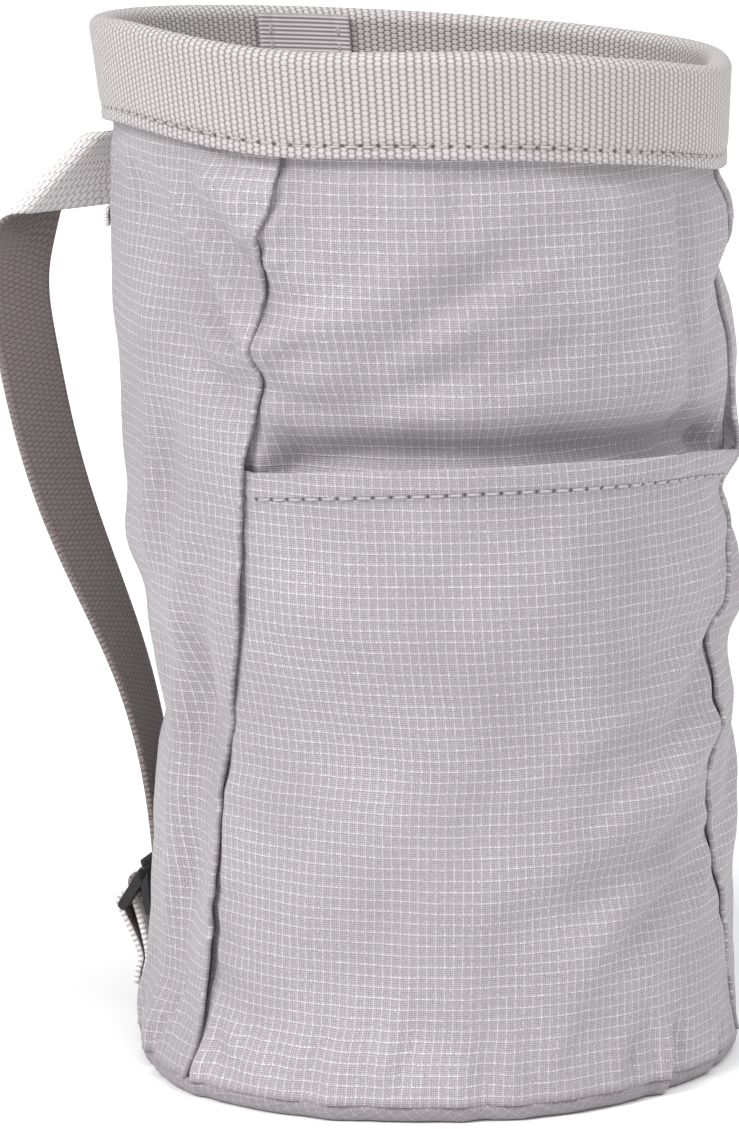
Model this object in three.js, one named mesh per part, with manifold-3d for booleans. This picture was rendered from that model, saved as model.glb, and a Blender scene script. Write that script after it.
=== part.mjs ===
// Climbing chalk bag: a soft cloth cylinder with a stiff webbing rim, a flat front pocket and a carry strap.
// Millimetres, +Z up. The origin is the middle of the flat base, where the bag stands. The pocket faces -Y.
// An azimuth of 0 degrees points to -Y, 90 degrees to +X, and -90 degrees to -X, the strap's side.
import * as THREE from "three";
import Module from "manifold-3d";
import { mergeVertices } from "three/addons/utils/BufferGeometryUtils.js";

// Driving dimensions of the body
const baseRadius = 60; // outside of the cloth wall at the foot
const mouthHeight = 202.6; // middle of the rim's top edge above the floor
const rimFlare = 2.3; // the rim's top edge stands out this far past the foot
const mouthRadius = baseRadius + rimFlare; // outside of the rim at its top edge
const mouthTilt = 4.25; // degrees that the rim leans out of level
const mouthHighSide = -69; // azimuth of the rim's highest point
const leanSide = -112; // azimuth that the soft body leans to
const clothThickness = 1.2; // coated ripstop cloth with its seam layers
const baseThickness = 1.4;
const seamHeight = 2.2; // the base seam above the floor
const footInset = 3; // how far the flat base stays inside the seam
const clearance = 0.3; // between two pieces that are sewn together
const seamGroove = 0.7; // width of the groove along a seam between two panels

// Driving dimensions of the rim
const bandHeight = 20; // outside leg of the folded webbing
const innerBandHeight = 18; // inside leg of the folded webbing
const bandThickness = 1.5;
const bandTaper = 1.7; // the rim is this much narrower at its lower edge
const tuckLength = 7; // height over which the wall draws in to pass under the rim
const foldDepth = 2.4; // solid webbing over the cloth's raw edge
const edgeRound = 1.4; // height over which the folded top edge rounds off
const edgeInset = 0.35; // the rounding's middle place: how far in, and how far below the top
const edgeDrop = 0.45;
const tapeWidth = 20; // grosgrain tape over the webbing's joint
const tapeThickness = 0.8;
const tapeAzimuth = -173;
const tapeLow = 1; // the tape ends this far above the rim's inner edge
const tapeHigh = 1.2; // and this far below the rim's top

// Driving dimensions of the pocket
const pocketHeight = 127.5; // mouth of the pocket above the floor
const hemHeight = 5.4;
const hemExtra = 0.5; // the hem is this much thicker than the cloth
const pocketGape = 1.6; // how far the mouth of the pocket stands off the front panel
const gapeHeight = 0.06; // share of the wall's height over which it does so
const panelRise = 0.1; // share of the wall's height over which the panel comes out again above the pocket

// Driving dimensions of the carry strap and its fittings
const strapWidth = 14.5;
const strapThickness = 1.2;
const strapBelowRim = 30.1; // middle of the sewn end below the rim's top edge
const strapHeight = mouthHeight - strapBelowRim; // and above the floor
const strapEndAzimuth = -188;
const strapLeaveAzimuth = -155; // here the strap leaves the wall in a straight line
const strapFreeLength = 38.8; // from there to the fold
const foldAngle = 36; // degrees between the fold and the strap's run
const foldRadius = 1.7;
const strapStandOff = 20; // greatest distance between the hanging strap and the wall
const lockAzimuth = -122.5;
const lockHeight = 29.6; // middle bar of the ladder lock above the floor
const lockLean = 32; // degrees between the lock and the wall; its lower end stands out
const barRadius = 0.75;
const upperWindow = 3.4; // from the top bar's middle to the middle bar's
const lowerWindow = 4.9;
const railWidth = 2;
const railRadius = 1.1;
const railGap = 0.6; // between the strap's selvedge and a rail
const footLength = 8.2; // leg of each rail that lies along the wall
const footPlay = 0.5; // between the rails' feet and the wall, past the clearance
const lipLength = 1.7; // thumb edge outside the top bar
const lipLean = 0.4; // it leans out by this share of its length
const lipTaper = 0.8; // its end's radius as a share of barRadius
const anchorSewn = 6; // the anchor webbing is sewn on over this height
const anchorRoot = 14.5; // here it leaves the wall
const tabWidth = 6; // short webbing tab in the side, below the strap
const tabHeight = 3.6;
const tabThickness = 1.1;
const tabEnds = 0.6; // thickness at the tab's two ends as a share of tabThickness
const tabAzimuth = -110;
const tabBelowRim = 34.4; // top of the tab below the rim's top edge

// Columns of the meshes: few enough to keep the solids light, enough to keep the folds
const frontColumns = 16;
const wrapColumns = 38;
const ringColumns = 64;

const ripstop = new THREE.Color("#beb8bc");
const webbingGrey = new THREE.Color("#cfc9c9");
const plasticBlack = new THREE.Color("#1a1819");

const radians = THREE.MathUtils.degToRad;
const lerp = THREE.MathUtils.lerp;
const smooth = THREE.MathUtils.smoothstep;

// Sections of the cloth wall. at: share of the height from the base seam to the rim's top edge.
// reach: radius as a share of baseRadius. lean: shift towards leanSide as a share of baseRadius.
const sections = [
  { at: 0.0, reach: 1.0, lean: 0.002 },
  { at: 0.045, reach: 0.984, lean: -0.004 },
  { at: 0.08, reach: 0.966, lean: -0.016 },
  { at: 0.2, reach: 0.96, lean: -0.022 },
  { at: 0.28, reach: 0.95, lean: -0.024 },
  { at: 0.33, reach: 0.94, lean: -0.034 },
  { at: 0.385, reach: 0.956, lean: -0.02 },
  { at: 0.46, reach: 0.992, lean: 0.004 },
  { at: 0.54, reach: 0.994, lean: 0.014 },
  { at: 0.7, reach: 1.009, lean: 0.038 },
  { at: 0.78, reach: 1.004, lean: 0.054 },
  { at: 0.84, reach: 1.004, lean: 0.062 },
  { at: 0.9, reach: 0.998, lean: 0.068 },
  { at: 1.0, reach: 1.01, lean: 0.082 },
];

// Seams between the front panel and the wrap panel: azimuths at each share of the wall's height.
const seams = [
  { at: 0.0, left: -67.5, right: 68 },
  { at: 0.06, left: -67.3, right: 66 },
  { at: 0.1, left: -68.6, right: 59.5 },
  { at: 0.17, left: -67.5, right: 55.2 },
  { at: 0.3, left: -65.6, right: 53 },
  { at: 0.39, left: -60.5, right: 50.8 },
  { at: 0.45, left: -56, right: 51.6 },
  { at: 0.53, left: -54, right: 58 },
  { at: 0.61, left: -51.6, right: 62.5 },
  { at: 0.7, left: -47.6, right: 64 },
  { at: 0.82, left: -44.8, right: 64 },
  { at: 0.87, left: -41.6, right: 64 },
  { at: 1.0, left: -41, right: 64 },
];

// Dents, folds and bulges of the cloth. depth: share of baseRadius, inwards if below zero.
// wide: degrees. tall: share of the wall's height. slant: degrees that the fold drifts per unit of height share.
const folds = [
  { azimuth: -62, at: 0.0, wide: 24, tall: 0.05, depth: 0.06, slant: 0 }, // foot pushed out at the front left
  { azimuth: 74, at: 0.79, wide: 13, tall: 0.022, depth: -0.032, slant: 0 }, // crease under the rim at the right
  { azimuth: 60, at: 0.76, wide: 10, tall: 0.03, depth: -0.018, slant: -260 },
  { azimuth: 66, at: 0.845, wide: 16, tall: 0.03, depth: 0.012, slant: 0 },
  { azimuth: -66, at: 0.875, wide: 7, tall: 0.05, depth: -0.022, slant: 120 }, // pulls in the left side panel
  { azimuth: -57, at: 0.8, wide: 6, tall: 0.045, depth: -0.012, slant: -120 },
  { azimuth: -72, at: 0.74, wide: 8, tall: 0.06, depth: -0.016, slant: -150 },
  { azimuth: -84, at: 0.42, wide: 7, tall: 0.09, depth: -0.034, slant: -90 }, // long hollow down the left side
  { azimuth: -72, at: 0.5, wide: 5, tall: 0.07, depth: 0.014, slant: -60 },
  { azimuth: -76, at: 0.2, wide: 6, tall: 0.05, depth: -0.022, slant: 100 },
  { azimuth: -30, at: 0.77, wide: 11, tall: 0.025, depth: -0.018, slant: 320 }, // soft waves above the pocket
  { azimuth: -8, at: 0.7, wide: 14, tall: 0.028, depth: -0.012, slant: 260 },
  { azimuth: 34, at: 0.42, wide: 12, tall: 0.045, depth: -0.016, slant: 240 }, // diagonal waves in the pocket
  { azimuth: 26, at: 0.3, wide: 10, tall: 0.04, depth: 0.012, slant: 260 },
  { azimuth: 44, at: 0.22, wide: 9, tall: 0.05, depth: -0.016, slant: 200 },
  { azimuth: -18, at: 0.34, wide: 22, tall: 0.14, depth: 0.01, slant: 0 },
  { azimuth: 122, at: 0.56, wide: 12, tall: 0.06, depth: -0.024, slant: 160 }, // plain slack folds at the back
  { azimuth: 164, at: 0.36, wide: 15, tall: 0.07, depth: -0.024, slant: -180 },
  { azimuth: -150, at: 0.62, wide: 14, tall: 0.06, depth: -0.02, slant: 170 },
];

// Waves of the rim's edge. rise: share of bandHeight.
const rimWaves = [
  { azimuth: -79, wide: 16, rise: 0.045 },
  { azimuth: -40, wide: 16, rise: -0.045 },
  { azimuth: 4, wide: 22, rise: 0.07 },
  { azimuth: 58, wide: 18, rise: -0.09 },
];

// Mouth line of the pocket. across: -1 at the left seam, 1 at the right seam. drop: share of mouthHeight.
const pocketLine = [
  { across: -1, drop: 0.012 },
  { across: -0.6, drop: 0.002 },
  { across: -0.1, drop: -0.002 },
  { across: 0.3, drop: 0.003 },
  { across: 0.7, drop: 0.012 },
  { across: 1, drop: 0.026 },
];

// The hanging stretch of the strap. at: share of mouthHeight. turn: degrees past lockAzimuth.
// out: share of strapStandOff. face: azimuth that the strap's inner side looks to, past lockAzimuth.
const hang = [
  { at: 0.69, turn: 5.6, out: 1.02, face: 147 },
  { at: 0.61, turn: 4.6, out: 0.98, face: 151 },
  { at: 0.53, turn: 3, out: 0.84, face: 157 },
  { at: 0.45, turn: 1.4, out: 0.62, face: 165 },
  { at: 0.37, turn: 0.6, out: 0.46, face: 174 },
  { at: 0.3, turn: 0, out: 0.24, face: 180 },
];

// Value of one column at a place, as a smooth curve through the rows.
function along(rows, column, value, place) {
  const last = rows.length - 1;
  const x = THREE.MathUtils.clamp(place, rows[0][column], rows[last][column]);
  let i = 0;
  while (i < last - 1 && x > rows[i + 1][column]) i += 1;
  const slope = (k) => {
    const a = rows[Math.max(k - 1, 0)];
    const b = rows[Math.min(k + 1, last)];
    return (b[value] - a[value]) / (b[column] - a[column]);
  };
  const span = rows[i + 1][column] - rows[i][column];
  const t = (x - rows[i][column]) / span;
  const t2 = t * t;
  const t3 = t2 * t;
  return (
    (2 * t3 - 3 * t2 + 1) * rows[i][value] +
    (t3 - 2 * t2 + t) * span * slope(i) +
    (3 * t2 - 2 * t3) * rows[i + 1][value] +
    (t3 - t2) * span * slope(i + 1)
  );
}

// Horizontal unit vector that points to an azimuth.
function towards(azimuth) {
  return new THREE.Vector3(Math.sin(radians(azimuth)), -Math.cos(radians(azimuth)), 0);
}

// Difference of two azimuths, from -180 to 180 degrees.
function turnFrom(azimuth, start) {
  return THREE.MathUtils.euclideanModulo(azimuth - start + 180, 360) - 180;
}

function bell(x) {
  return Math.exp(-x * x);
}

// Height of the rim's top edge.
function mouthTop(azimuth) {
  const lift = Math.tan(radians(mouthTilt)) * mouthRadius * Math.cos(radians(azimuth - mouthHighSide));
  const wave = rimWaves.reduce((sum, w) => sum + w.rise * bell(turnFrom(azimuth, w.azimuth) / w.wide), 0);
  return mouthHeight + lift + wave * bandHeight;
}

// Middle of the body at a share of its height.
function middle(at) {
  return towards(leanSide).multiplyScalar(along(sections, "at", "lean", at) * baseRadius);
}

// Share of the wall's height for a distance below the rim's top edge, and the other way round.
function shareBelowRim(azimuth, down) {
  return 1 - down / (mouthTop(azimuth) - seamHeight);
}

function shareAtHeight(azimuth, height) {
  return (height - seamHeight) / (mouthTop(azimuth) - seamHeight);
}

// Outside radius of the rim at a distance below its top edge.
function bandRadius(down) {
  return mouthRadius - bandTaper * (down / bandHeight);
}

// Outside radius of the cloth wall, with its folds, tucked under the rim at the top.
function wallRadius(azimuth, at) {
  let radius = along(sections, "at", "reach", at) * baseRadius;
  for (const f of folds) {
    const off = turnFrom(azimuth, f.azimuth) - f.slant * (at - f.at);
    radius += f.depth * baseRadius * bell(off / f.wide) * bell((at - f.at) / f.tall);
  }
  const down = (1 - at) * (mouthTop(azimuth) - seamHeight);
  const tucked = bandRadius(down) - bandThickness - clearance;
  return lerp(radius, tucked, 1 - smooth(down, bandHeight + clearance, bandHeight + tuckLength));
}

// A place on the wall, a distance inwards from its outside.
function onWall(azimuth, at, inwards) {
  const place = middle(at).addScaledVector(towards(azimuth), wallRadius(azimuth, at) - inwards);
  place.z = lerp(seamHeight, mouthTop(azimuth), at);
  return place;
}

// How far the front panel lies inside the wall's outside: under the pocket, and in the dip at its mouth.
function frontDepth(azimuth, at) {
  const mouth = shareAtHeight(azimuth, pocketMouth(azimuth));
  const under = 1 - smooth(at, mouth, mouth + panelRise);
  const dip = pocketGape * bell((at - mouth) / gapeHeight);
  return under * (clothThickness + clearance) + dip;
}

// Height of the pocket's mouth.
function pocketMouth(azimuth) {
  const rough = pocketHeight / mouthHeight;
  const left = along(seams, "at", "left", rough);
  const right = along(seams, "at", "right", rough);
  const inFront = (2 * (azimuth - left)) / (right - left) - 1;
  const behind = 1 - (2 * (azimuth - right)) / (360 + left - right);
  return pocketHeight - along(pocketLine, "across", "drop", azimuth > right ? behind : inFront) * mouthHeight;
}

// Rows of the cloth panels' mesh, as shares of the wall's height: up to the hem, the hem itself,
// up to the rim, and closer together where the cloth tucks into the rim.
const hemFootRow = 13;
const hemTopRow = hemFootRow + 2;
function panelRows(azimuth) {
  const mouth = shareAtHeight(azimuth, pocketMouth(azimuth));
  const foot = mouth - hemHeight / (mouthTop(azimuth) - seamHeight);
  const tuck = shareBelowRim(azimuth, bandHeight + tuckLength);
  const edge = shareBelowRim(azimuth, bandHeight + clearance);
  const stretches = [
    { from: 0, to: foot, steps: hemFootRow },
    { from: foot, to: mouth, steps: hemTopRow - hemFootRow },
    { from: mouth, to: tuck, steps: 6 },
    { from: tuck, to: edge, steps: 2 },
    { from: edge, to: clothTop(azimuth), steps: 2 },
  ];
  const rows = [0];
  for (const s of stretches)
    for (let i = 1; i <= s.steps; i += 1) rows.push(lerp(s.from, s.to, i / s.steps));
  return rows;
}

// Closed mesh from shared vertices, and its named part.
function closed(places, faces) {
  const geometry = new THREE.BufferGeometry().setFromPoints(places);
  geometry.setIndex(faces);
  geometry.computeVertexNormals();
  return geometry;
}

function piece(name, geometry, color, roughness) {
  const mesh = new THREE.Mesh(geometry, new THREE.MeshStandardMaterial({ color, roughness, metalness: 0 }));
  mesh.name = name;
  return mesh;
}

// Sheet with two faces and four edges. place(u, v, side): u and v from 0 to 1, side 0 outside and 1 inside.
function sheet(columns, rows, place) {
  const places = [];
  const faces = [];
  const at = (i, j, side) => (side * (rows + 1) + j) * (columns + 1) + i;
  for (let side = 0; side < 2; side += 1)
    for (let j = 0; j <= rows; j += 1)
      for (let i = 0; i <= columns; i += 1) places.push(place(i / columns, j / rows, side));
  const quad = (a, b, c, d) => faces.push(a, b, c, a, c, d);
  for (let j = 0; j < rows; j += 1)
    for (let i = 0; i < columns; i += 1) {
      quad(at(i, j, 0), at(i + 1, j, 0), at(i + 1, j + 1, 0), at(i, j + 1, 0));
      quad(at(i, j, 1), at(i, j + 1, 1), at(i + 1, j + 1, 1), at(i + 1, j, 1));
    }
  for (let i = 0; i < columns; i += 1) {
    quad(at(i, 0, 0), at(i, 0, 1), at(i + 1, 0, 1), at(i + 1, 0, 0));
    quad(at(i, rows, 0), at(i + 1, rows, 0), at(i + 1, rows, 1), at(i, rows, 1));
  }
  for (let j = 0; j < rows; j += 1) {
    quad(at(0, j, 0), at(0, j + 1, 0), at(0, j + 1, 1), at(0, j, 1));
    quad(at(columns, j, 0), at(columns, j, 1), at(columns, j + 1, 1), at(columns, j + 1, 0));
  }
  return closed(places, faces);
}

// Ring whose closed section may change on its way round. section(azimuth) runs round the section.
function ring(columns, section) {
  const places = [];
  const faces = [];
  const count = section(0).length;
  for (let i = 0; i < columns; i += 1) places.push(...section((360 * i) / columns));
  for (let i = 0; i < columns; i += 1)
    for (let j = 0; j < count; j += 1) {
      const a = i * count + j;
      const b = ((i + 1) % columns) * count + j;
      const c = ((i + 1) % columns) * count + ((j + 1) % count);
      const d = i * count + ((j + 1) % count);
      faces.push(a, b, c, a, c, d);
    }
  return closed(places, faces);
}

// Dish that closes on the axis at its first and last place. profile(azimuth) runs from underneath to the top.
function dish(columns, first, last, profile) {
  const count = profile(0).length;
  const places = [first, last];
  const faces = [];
  for (let i = 0; i < columns; i += 1) places.push(...profile((360 * i) / columns));
  for (let i = 0; i < columns; i += 1) {
    const a = 2 + i * count;
    const b = 2 + ((i + 1) % columns) * count;
    faces.push(0, b, a);
    faces.push(1, a + count - 1, b + count - 1);
    for (let j = 0; j < count - 1; j += 1) faces.push(a + j, b + j, b + j + 1, a + j, b + j + 1, a + j + 1);
  }
  return closed(places, faces);
}

// Top of the cloth walls, inside the folded rim.
function clothTop(azimuth) {
  return shareBelowRim(azimuth, foldDepth + clearance);
}

// Half of the groove along a seam, in degrees.
const seamGap = THREE.MathUtils.radToDeg(seamGroove / baseRadius / 2);

// Azimuth and height share of a place in a panel whose side edges follow the seams at their own height.
// across runs from 0 to 1 between the edges, and height(azimuth) gives the share.
function inPanel(across, edges, height) {
  let azimuth = lerp(...edges(0.5), across);
  for (let i = 0; i < 4; i += 1) azimuth = lerp(...edges(height(azimuth)), across);
  return { azimuth, at: height(azimuth) };
}

function frontEdges(at) {
  return [along(seams, "at", "left", at) + seamGap, along(seams, "at", "right", at) - seamGap];
}

function wrapEdges(at) {
  return [along(seams, "at", "right", at) + seamGap, 360 + along(seams, "at", "left", at) - seamGap];
}

function frontPanel() {
  const rows = panelRows(0).length - 1;
  return sheet(frontColumns, rows, (u, v, side) => {
    const { azimuth, at } = inPanel(u, frontEdges, (a) => panelRows(a)[Math.round(v * rows)]);
    return onWall(azimuth, at, frontDepth(azimuth, at) + side * clothThickness);
  });
}

function wrapPanel() {
  const rows = panelRows(0).length - 1;
  return sheet(wrapColumns, rows, (u, v, side) => {
    const { azimuth, at } = inPanel(u, wrapEdges, (a) => panelRows(a)[Math.round(v * rows)]);
    return onWall(azimuth, at, side * clothThickness);
  });
}

// The pocket is one layer over the front panel, with a folded hem at its mouth.
function frontPocket() {
  return sheet(frontColumns, hemTopRow, (u, v, side) => {
    const row = Math.round(v * hemTopRow);
    const { azimuth, at } = inPanel(u, frontEdges, (a) => panelRows(a)[row]);
    const outside = row > hemFootRow ? -hemExtra : 0;
    return onWall(azimuth, at, side === 1 ? clothThickness : outside);
  });
}

// The base is a cloth disc whose edge turns up to the seam.
function basePanel() {
  const lip = seamHeight - clearance;
  const edge = (azimuth, inwards, height) => {
    const place = middle(0).addScaledVector(towards(azimuth), wallRadius(azimuth, 0) - inwards);
    place.z = height;
    return place;
  };
  const inside = clothThickness + baseThickness;
  const turnUp = { inwards: 0.3 * footInset, height: 0.35 * lip }; // middle of the foot's round edge
  const slope = 0.6 * footInset; // inside, the foot slopes down over this distance
  return dish(ringColumns, new THREE.Vector3(0, 0, 0), new THREE.Vector3(0, 0, baseThickness), (azimuth) => [
    edge(azimuth, footInset, 0),
    edge(azimuth, turnUp.inwards, turnUp.height),
    edge(azimuth, 0, lip),
    edge(azimuth, inside, lip),
    edge(azimuth, inside + slope, baseThickness),
  ]);
}

// A place on the rim: inwards from its outside and down from the top edge.
function onRim(azimuth, inwards, down) {
  const at = shareBelowRim(azimuth, down);
  const place = middle(at).addScaledVector(towards(azimuth), bandRadius(down) - inwards);
  place.z = mouthTop(azimuth) - down;
  return place;
}

const slotWidth = clothThickness + 2 * clearance;
const bandDepth = 2 * bandThickness + slotWidth;

// The rim is wide webbing folded over the cloth's raw edge: two legs with the cloth between them.
function rimBand() {
  return ring(ringColumns, (azimuth) => [
    onRim(azimuth, bandThickness, bandHeight),
    onRim(azimuth, 0, bandHeight),
    onRim(azimuth, 0, edgeRound),
    onRim(azimuth, edgeInset, edgeDrop),
    onRim(azimuth, bandDepth / 2, 0),
    onRim(azimuth, bandDepth - edgeInset, edgeDrop),
    onRim(azimuth, bandDepth, edgeRound),
    onRim(azimuth, bandDepth, innerBandHeight),
    onRim(azimuth, bandDepth - bandThickness, innerBandHeight),
    onRim(azimuth, bandDepth - bandThickness, foldDepth),
    onRim(azimuth, bandThickness, foldDepth),
  ]);
}

function rimJoinTape() {
  const half = THREE.MathUtils.radToDeg(tapeWidth / 2 / (mouthRadius - bandDepth));
  return sheet(6, 4, (u, v, side) => {
    const azimuth = tapeAzimuth + lerp(-half, half, u);
    const down = lerp(innerBandHeight - tapeLow, tapeHigh, v);
    return onRim(azimuth, bandDepth + clearance + tapeThickness * side, down);
  });
}

// Frame of the strap's flat stretch: run along it, up across it, and face, the side that looks to the bag.
const run = towards(strapLeaveAzimuth + 90);
const up = new THREE.Vector3(0, 0, 1);
const face = towards(strapLeaveAzimuth + 180);
const foldRun = run.clone().multiplyScalar(Math.cos(radians(foldAngle)));
foldRun.addScaledVector(up, -Math.sin(radians(foldAngle)));
const foldAcross = run.clone().multiplyScalar(Math.sin(radians(foldAngle)));
foldAcross.addScaledVector(up, Math.cos(radians(foldAngle)));

const strapSeat = clearance + strapThickness / 2;
const strapShare = shareAtHeight(strapLeaveAzimuth, strapHeight);
const leavePlace = onWall(strapLeaveAzimuth, strapShare, -strapSeat);
leavePlace.z = strapHeight;
const foldPlace = leavePlace.clone().addScaledVector(run, strapFreeLength);

// The strap's flat stretch and its diagonal fold. length runs from the fold, across from the middle line.
function foldedStrap(length, across, lift) {
  const past = length * Math.sin(radians(foldAngle)) + across * Math.cos(radians(foldAngle));
  const lengthways = length * Math.cos(radians(foldAngle)) - across * Math.sin(radians(foldAngle));
  const turn = THREE.MathUtils.clamp(past / foldRadius, 0, Math.PI);
  const before = Math.min(past, 0);
  const after = Math.max(past - Math.PI * foldRadius, 0);
  const place = foldPlace.clone().addScaledVector(foldRun, lengthways);
  place.addScaledVector(foldAcross, before - after + (foldRadius + lift) * Math.sin(turn));
  return place.addScaledVector(face, (foldRadius + lift) * Math.cos(turn) - foldRadius);
}

// The strap's length on the fold's round edge, and a stretch on each side in which the mesh turns to the fold.
const rollLength = (Math.PI * foldRadius) / Math.sin(radians(foldAngle));
const turnLength = 1.25 * strapWidth;
const turnedLength = rollLength + turnLength;

// Stations of the fold run parallel to it, so that each one stays straight.
function foldStation(length, across, lift) {
  const skew = smooth(length, -turnLength, 0) * (1 - smooth(length, rollLength, turnedLength));
  return foldedStrap(length - (skew * across) / Math.tan(radians(foldAngle)), across, lift);
}

// The strap's sewn end, lying on the wall. lift is towards the wall, as on the stretch that follows.
function seatedStrap(azimuth, across, lift) {
  const at = shareAtHeight(azimuth, strapHeight);
  const place = onWall(azimuth, at, lift - strapSeat);
  place.z = strapHeight + across;
  return place;
}

// A place beside the wall, at a height and a distance from the cloth.
function beside(azimuth, height, out) {
  const place = onWall(azimuth, shareAtHeight(azimuth, height), -out);
  place.z = height;
  return place;
}

// The ladder lock's bars as heights above the floor and distances from the wall.
const leanOut = Math.sin(radians(lockLean));
const leanDown = Math.cos(radians(lockLean));
const threadGap = barRadius + clearance + strapThickness / 2;
const bars = { top: -upperWindow, middle: 0, lower: lowerWindow };

// Height and distance from the wall of a place in the lock. down and out: from a bar's middle, along and
// square to the lock's plane, as multiples of threadGap.
function inLock(bar, down, out) {
  const below = bars[bar] + down * threadGap;
  return {
    height: lockHeight - below * leanDown + out * threadGap * leanOut,
    out: strapSeat + threadGap + (below + upperWindow) * leanOut + out * threadGap * leanDown,
  };
}

function atLock(bar, down, out) {
  const place = inLock(bar, down, out);
  return beside(lockAzimuth, place.height, place.out);
}

// The strap's way under the top bar, over the middle bar and out through the lower window.
const thread = [
  { bar: "top", down: 0.1, out: -1.02 },
  { bar: "top", down: 0.8, out: -0.64 },
  { bar: "middle", down: -1.03, out: 0 },
  { bar: "middle", down: -0.76, out: 0.76 },
  { bar: "middle", down: 0, out: 1.06 },
  { bar: "middle", down: 0.76, out: 0.76 },
  { bar: "middle", down: 1.06, out: 0 },
  { bar: "middle", down: 1.1, out: -0.9 },
];

// The strap's free tail below the lock. drop: below the middle bar as a share of lowerWindow.
// out: from its seat on the wall, as a share of threadGap.
const tail = [
  { drop: 0.86, out: 1 },
  { drop: 1.3, out: 0.35 },
  { drop: 1.75, out: 0 },
];

// Path of the hanging strap as places with the azimuth of its inner side, down to its free end.
function hangingRows() {
  const startFace = strapLeaveAzimuth + 180;
  const lead = 7; // shapes the curve where it takes over from the fold
  const seated = (height, out) => ({ place: beside(lockAzimuth, height, strapSeat + out), face: lockAzimuth + 180 });
  const topHeight = inLock("top", 0, 0).height;
  return [
    { place: foldedStrap(turnedLength - lead, 0, 0), face: startFace },
    { place: foldedStrap(turnedLength, 0, 0), face: startFace },
    ...hang.map((r) => ({
      place: beside(lockAzimuth + r.turn, r.at * mouthHeight, r.out * strapStandOff),
      face: lockAzimuth + r.face,
    })),
    seated(topHeight + 3 * threadGap, 0),
    seated(topHeight + threadGap, 0),
    ...thread.map((r) => ({ place: atLock(r.bar, r.down, r.out), face: lockAzimuth + 180 })),
    ...tail.map((r) => seated(lockHeight - r.drop * lowerWindow, r.out * threadGap)),
  ];
}

const hangRows = hangingRows();
const hangPath = new THREE.CatmullRomCurve3(
  hangRows.map((r) => r.place),
  false,
  "centripetal",
);

// The hanging strap at a step from its first free row to its end.
function hangingStrap(step, across, lift) {
  const last = hangRows.length - 1;
  const t = (1 + step * (last - 1)) / last;
  const k = Math.min(Math.floor(t * last), last - 1);
  const aim = towards(lerp(hangRows[k].face, hangRows[k + 1].face, t * last - k));
  const down = hangPath.getTangent(t);
  const side = aim.clone().cross(down).normalize();
  const out = down.clone().cross(side).normalize();
  return hangPath.getPoint(t).addScaledVector(side, across).addScaledVector(out, -lift);
}

// The whole strap as one sheet: sewn end, flat stretch, fold, hanging stretch and threaded end.
function carryStrap() {
  const stretches = [
    { steps: 6, place: (t, a, l) => seatedStrap(lerp(strapEndAzimuth, strapLeaveAzimuth, t), a, l) },
    { steps: 2, place: (t, a, l) => foldStation(lerp(-strapFreeLength, -turnLength, t), a, l) },
    { steps: 4, place: (t, a, l) => foldStation(lerp(-turnLength, 0, t), a, l) },
    { steps: 7, place: (t, a, l) => foldStation(lerp(0, rollLength, t), a, l) },
    { steps: 4, place: (t, a, l) => foldStation(lerp(rollLength, turnedLength, t), a, l) },
    { steps: 60, place: hangingStrap },
  ];
  const stations = [];
  stretches.forEach((s, k) => {
    for (let i = k === 0 ? 0 : 1; i <= s.steps; i += 1) stations.push((a, l) => s.place(i / s.steps, a, l));
  });
  const columns = stations.length - 1;
  return sheet(columns, 2, (u, v, side) => {
    const lift = (side === 0 ? -1 : 1) * (strapThickness / 2);
    return stations[Math.round(u * columns)]((v - 0.5) * strapWidth, lift);
  });
}

// The anchor webbing is one short length, sewn on at both ends and turned round the lock's lower bar.
function anchorWebbing() {
  const turns = 8;
  const upper = strapThickness + clearance;
  const bar = inLock("lower", 0, 0);
  const start = radians(lockLean) + Math.atan2(bar.out - strapSeat, bar.height - anchorRoot);
  const sewn = (share, out) => beside(lockAzimuth, anchorRoot - share * anchorSewn, strapSeat + out);
  const rows = [sewn(1, 0), sewn(0.5, 0), sewn(0, clearance)];
  for (let i = 0; i <= turns; i += 1) {
    const angle = start + (Math.PI * i) / turns;
    rows.push(atLock("lower", -Math.sin(angle), -Math.cos(angle)));
  }
  rows.push(sewn(0, upper + clearance), sewn(0.5, upper), sewn(1, upper));
  const path = new THREE.CatmullRomCurve3(rows, false, "centripetal");
  const side = towards(lockAzimuth + 90);
  return sheet(3 * (rows.length - 1), 1, (u, v, layer) => {
    const out = path.getTangent(u).cross(side).normalize();
    const lift = (layer === 0 ? 1 : -1) * (strapThickness / 2);
    return path.getPoint(u).addScaledVector(side, (v - 0.5) * strapWidth).addScaledVector(out, lift);
  });
}

// A closed geometry as a solid that can be joined.
const manifold = await Module();
manifold.setup();

function solid(geometry) {
  const bare = geometry.clone();
  bare.deleteAttribute("normal");
  bare.deleteAttribute("uv");
  const merged = mergeVertices(bare, 1e-4);
  const vertProperties = new Float32Array(merged.attributes.position.array);
  const triVerts = new Uint32Array(merged.index.array);
  return new manifold.Manifold(new manifold.Mesh({ numProp: 3, vertProperties, triVerts }));
}

function joined(geometries) {
  const mesh = geometries.map(solid).reduce((whole, part) => whole.add(part)).getMesh();
  const geometry = new THREE.BufferGeometry();
  geometry.setAttribute("position", new THREE.BufferAttribute(mesh.vertProperties, 3));
  geometry.setIndex(new THREE.BufferAttribute(mesh.triVerts, 1));
  geometry.computeVertexNormals();
  return geometry;
}

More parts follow.
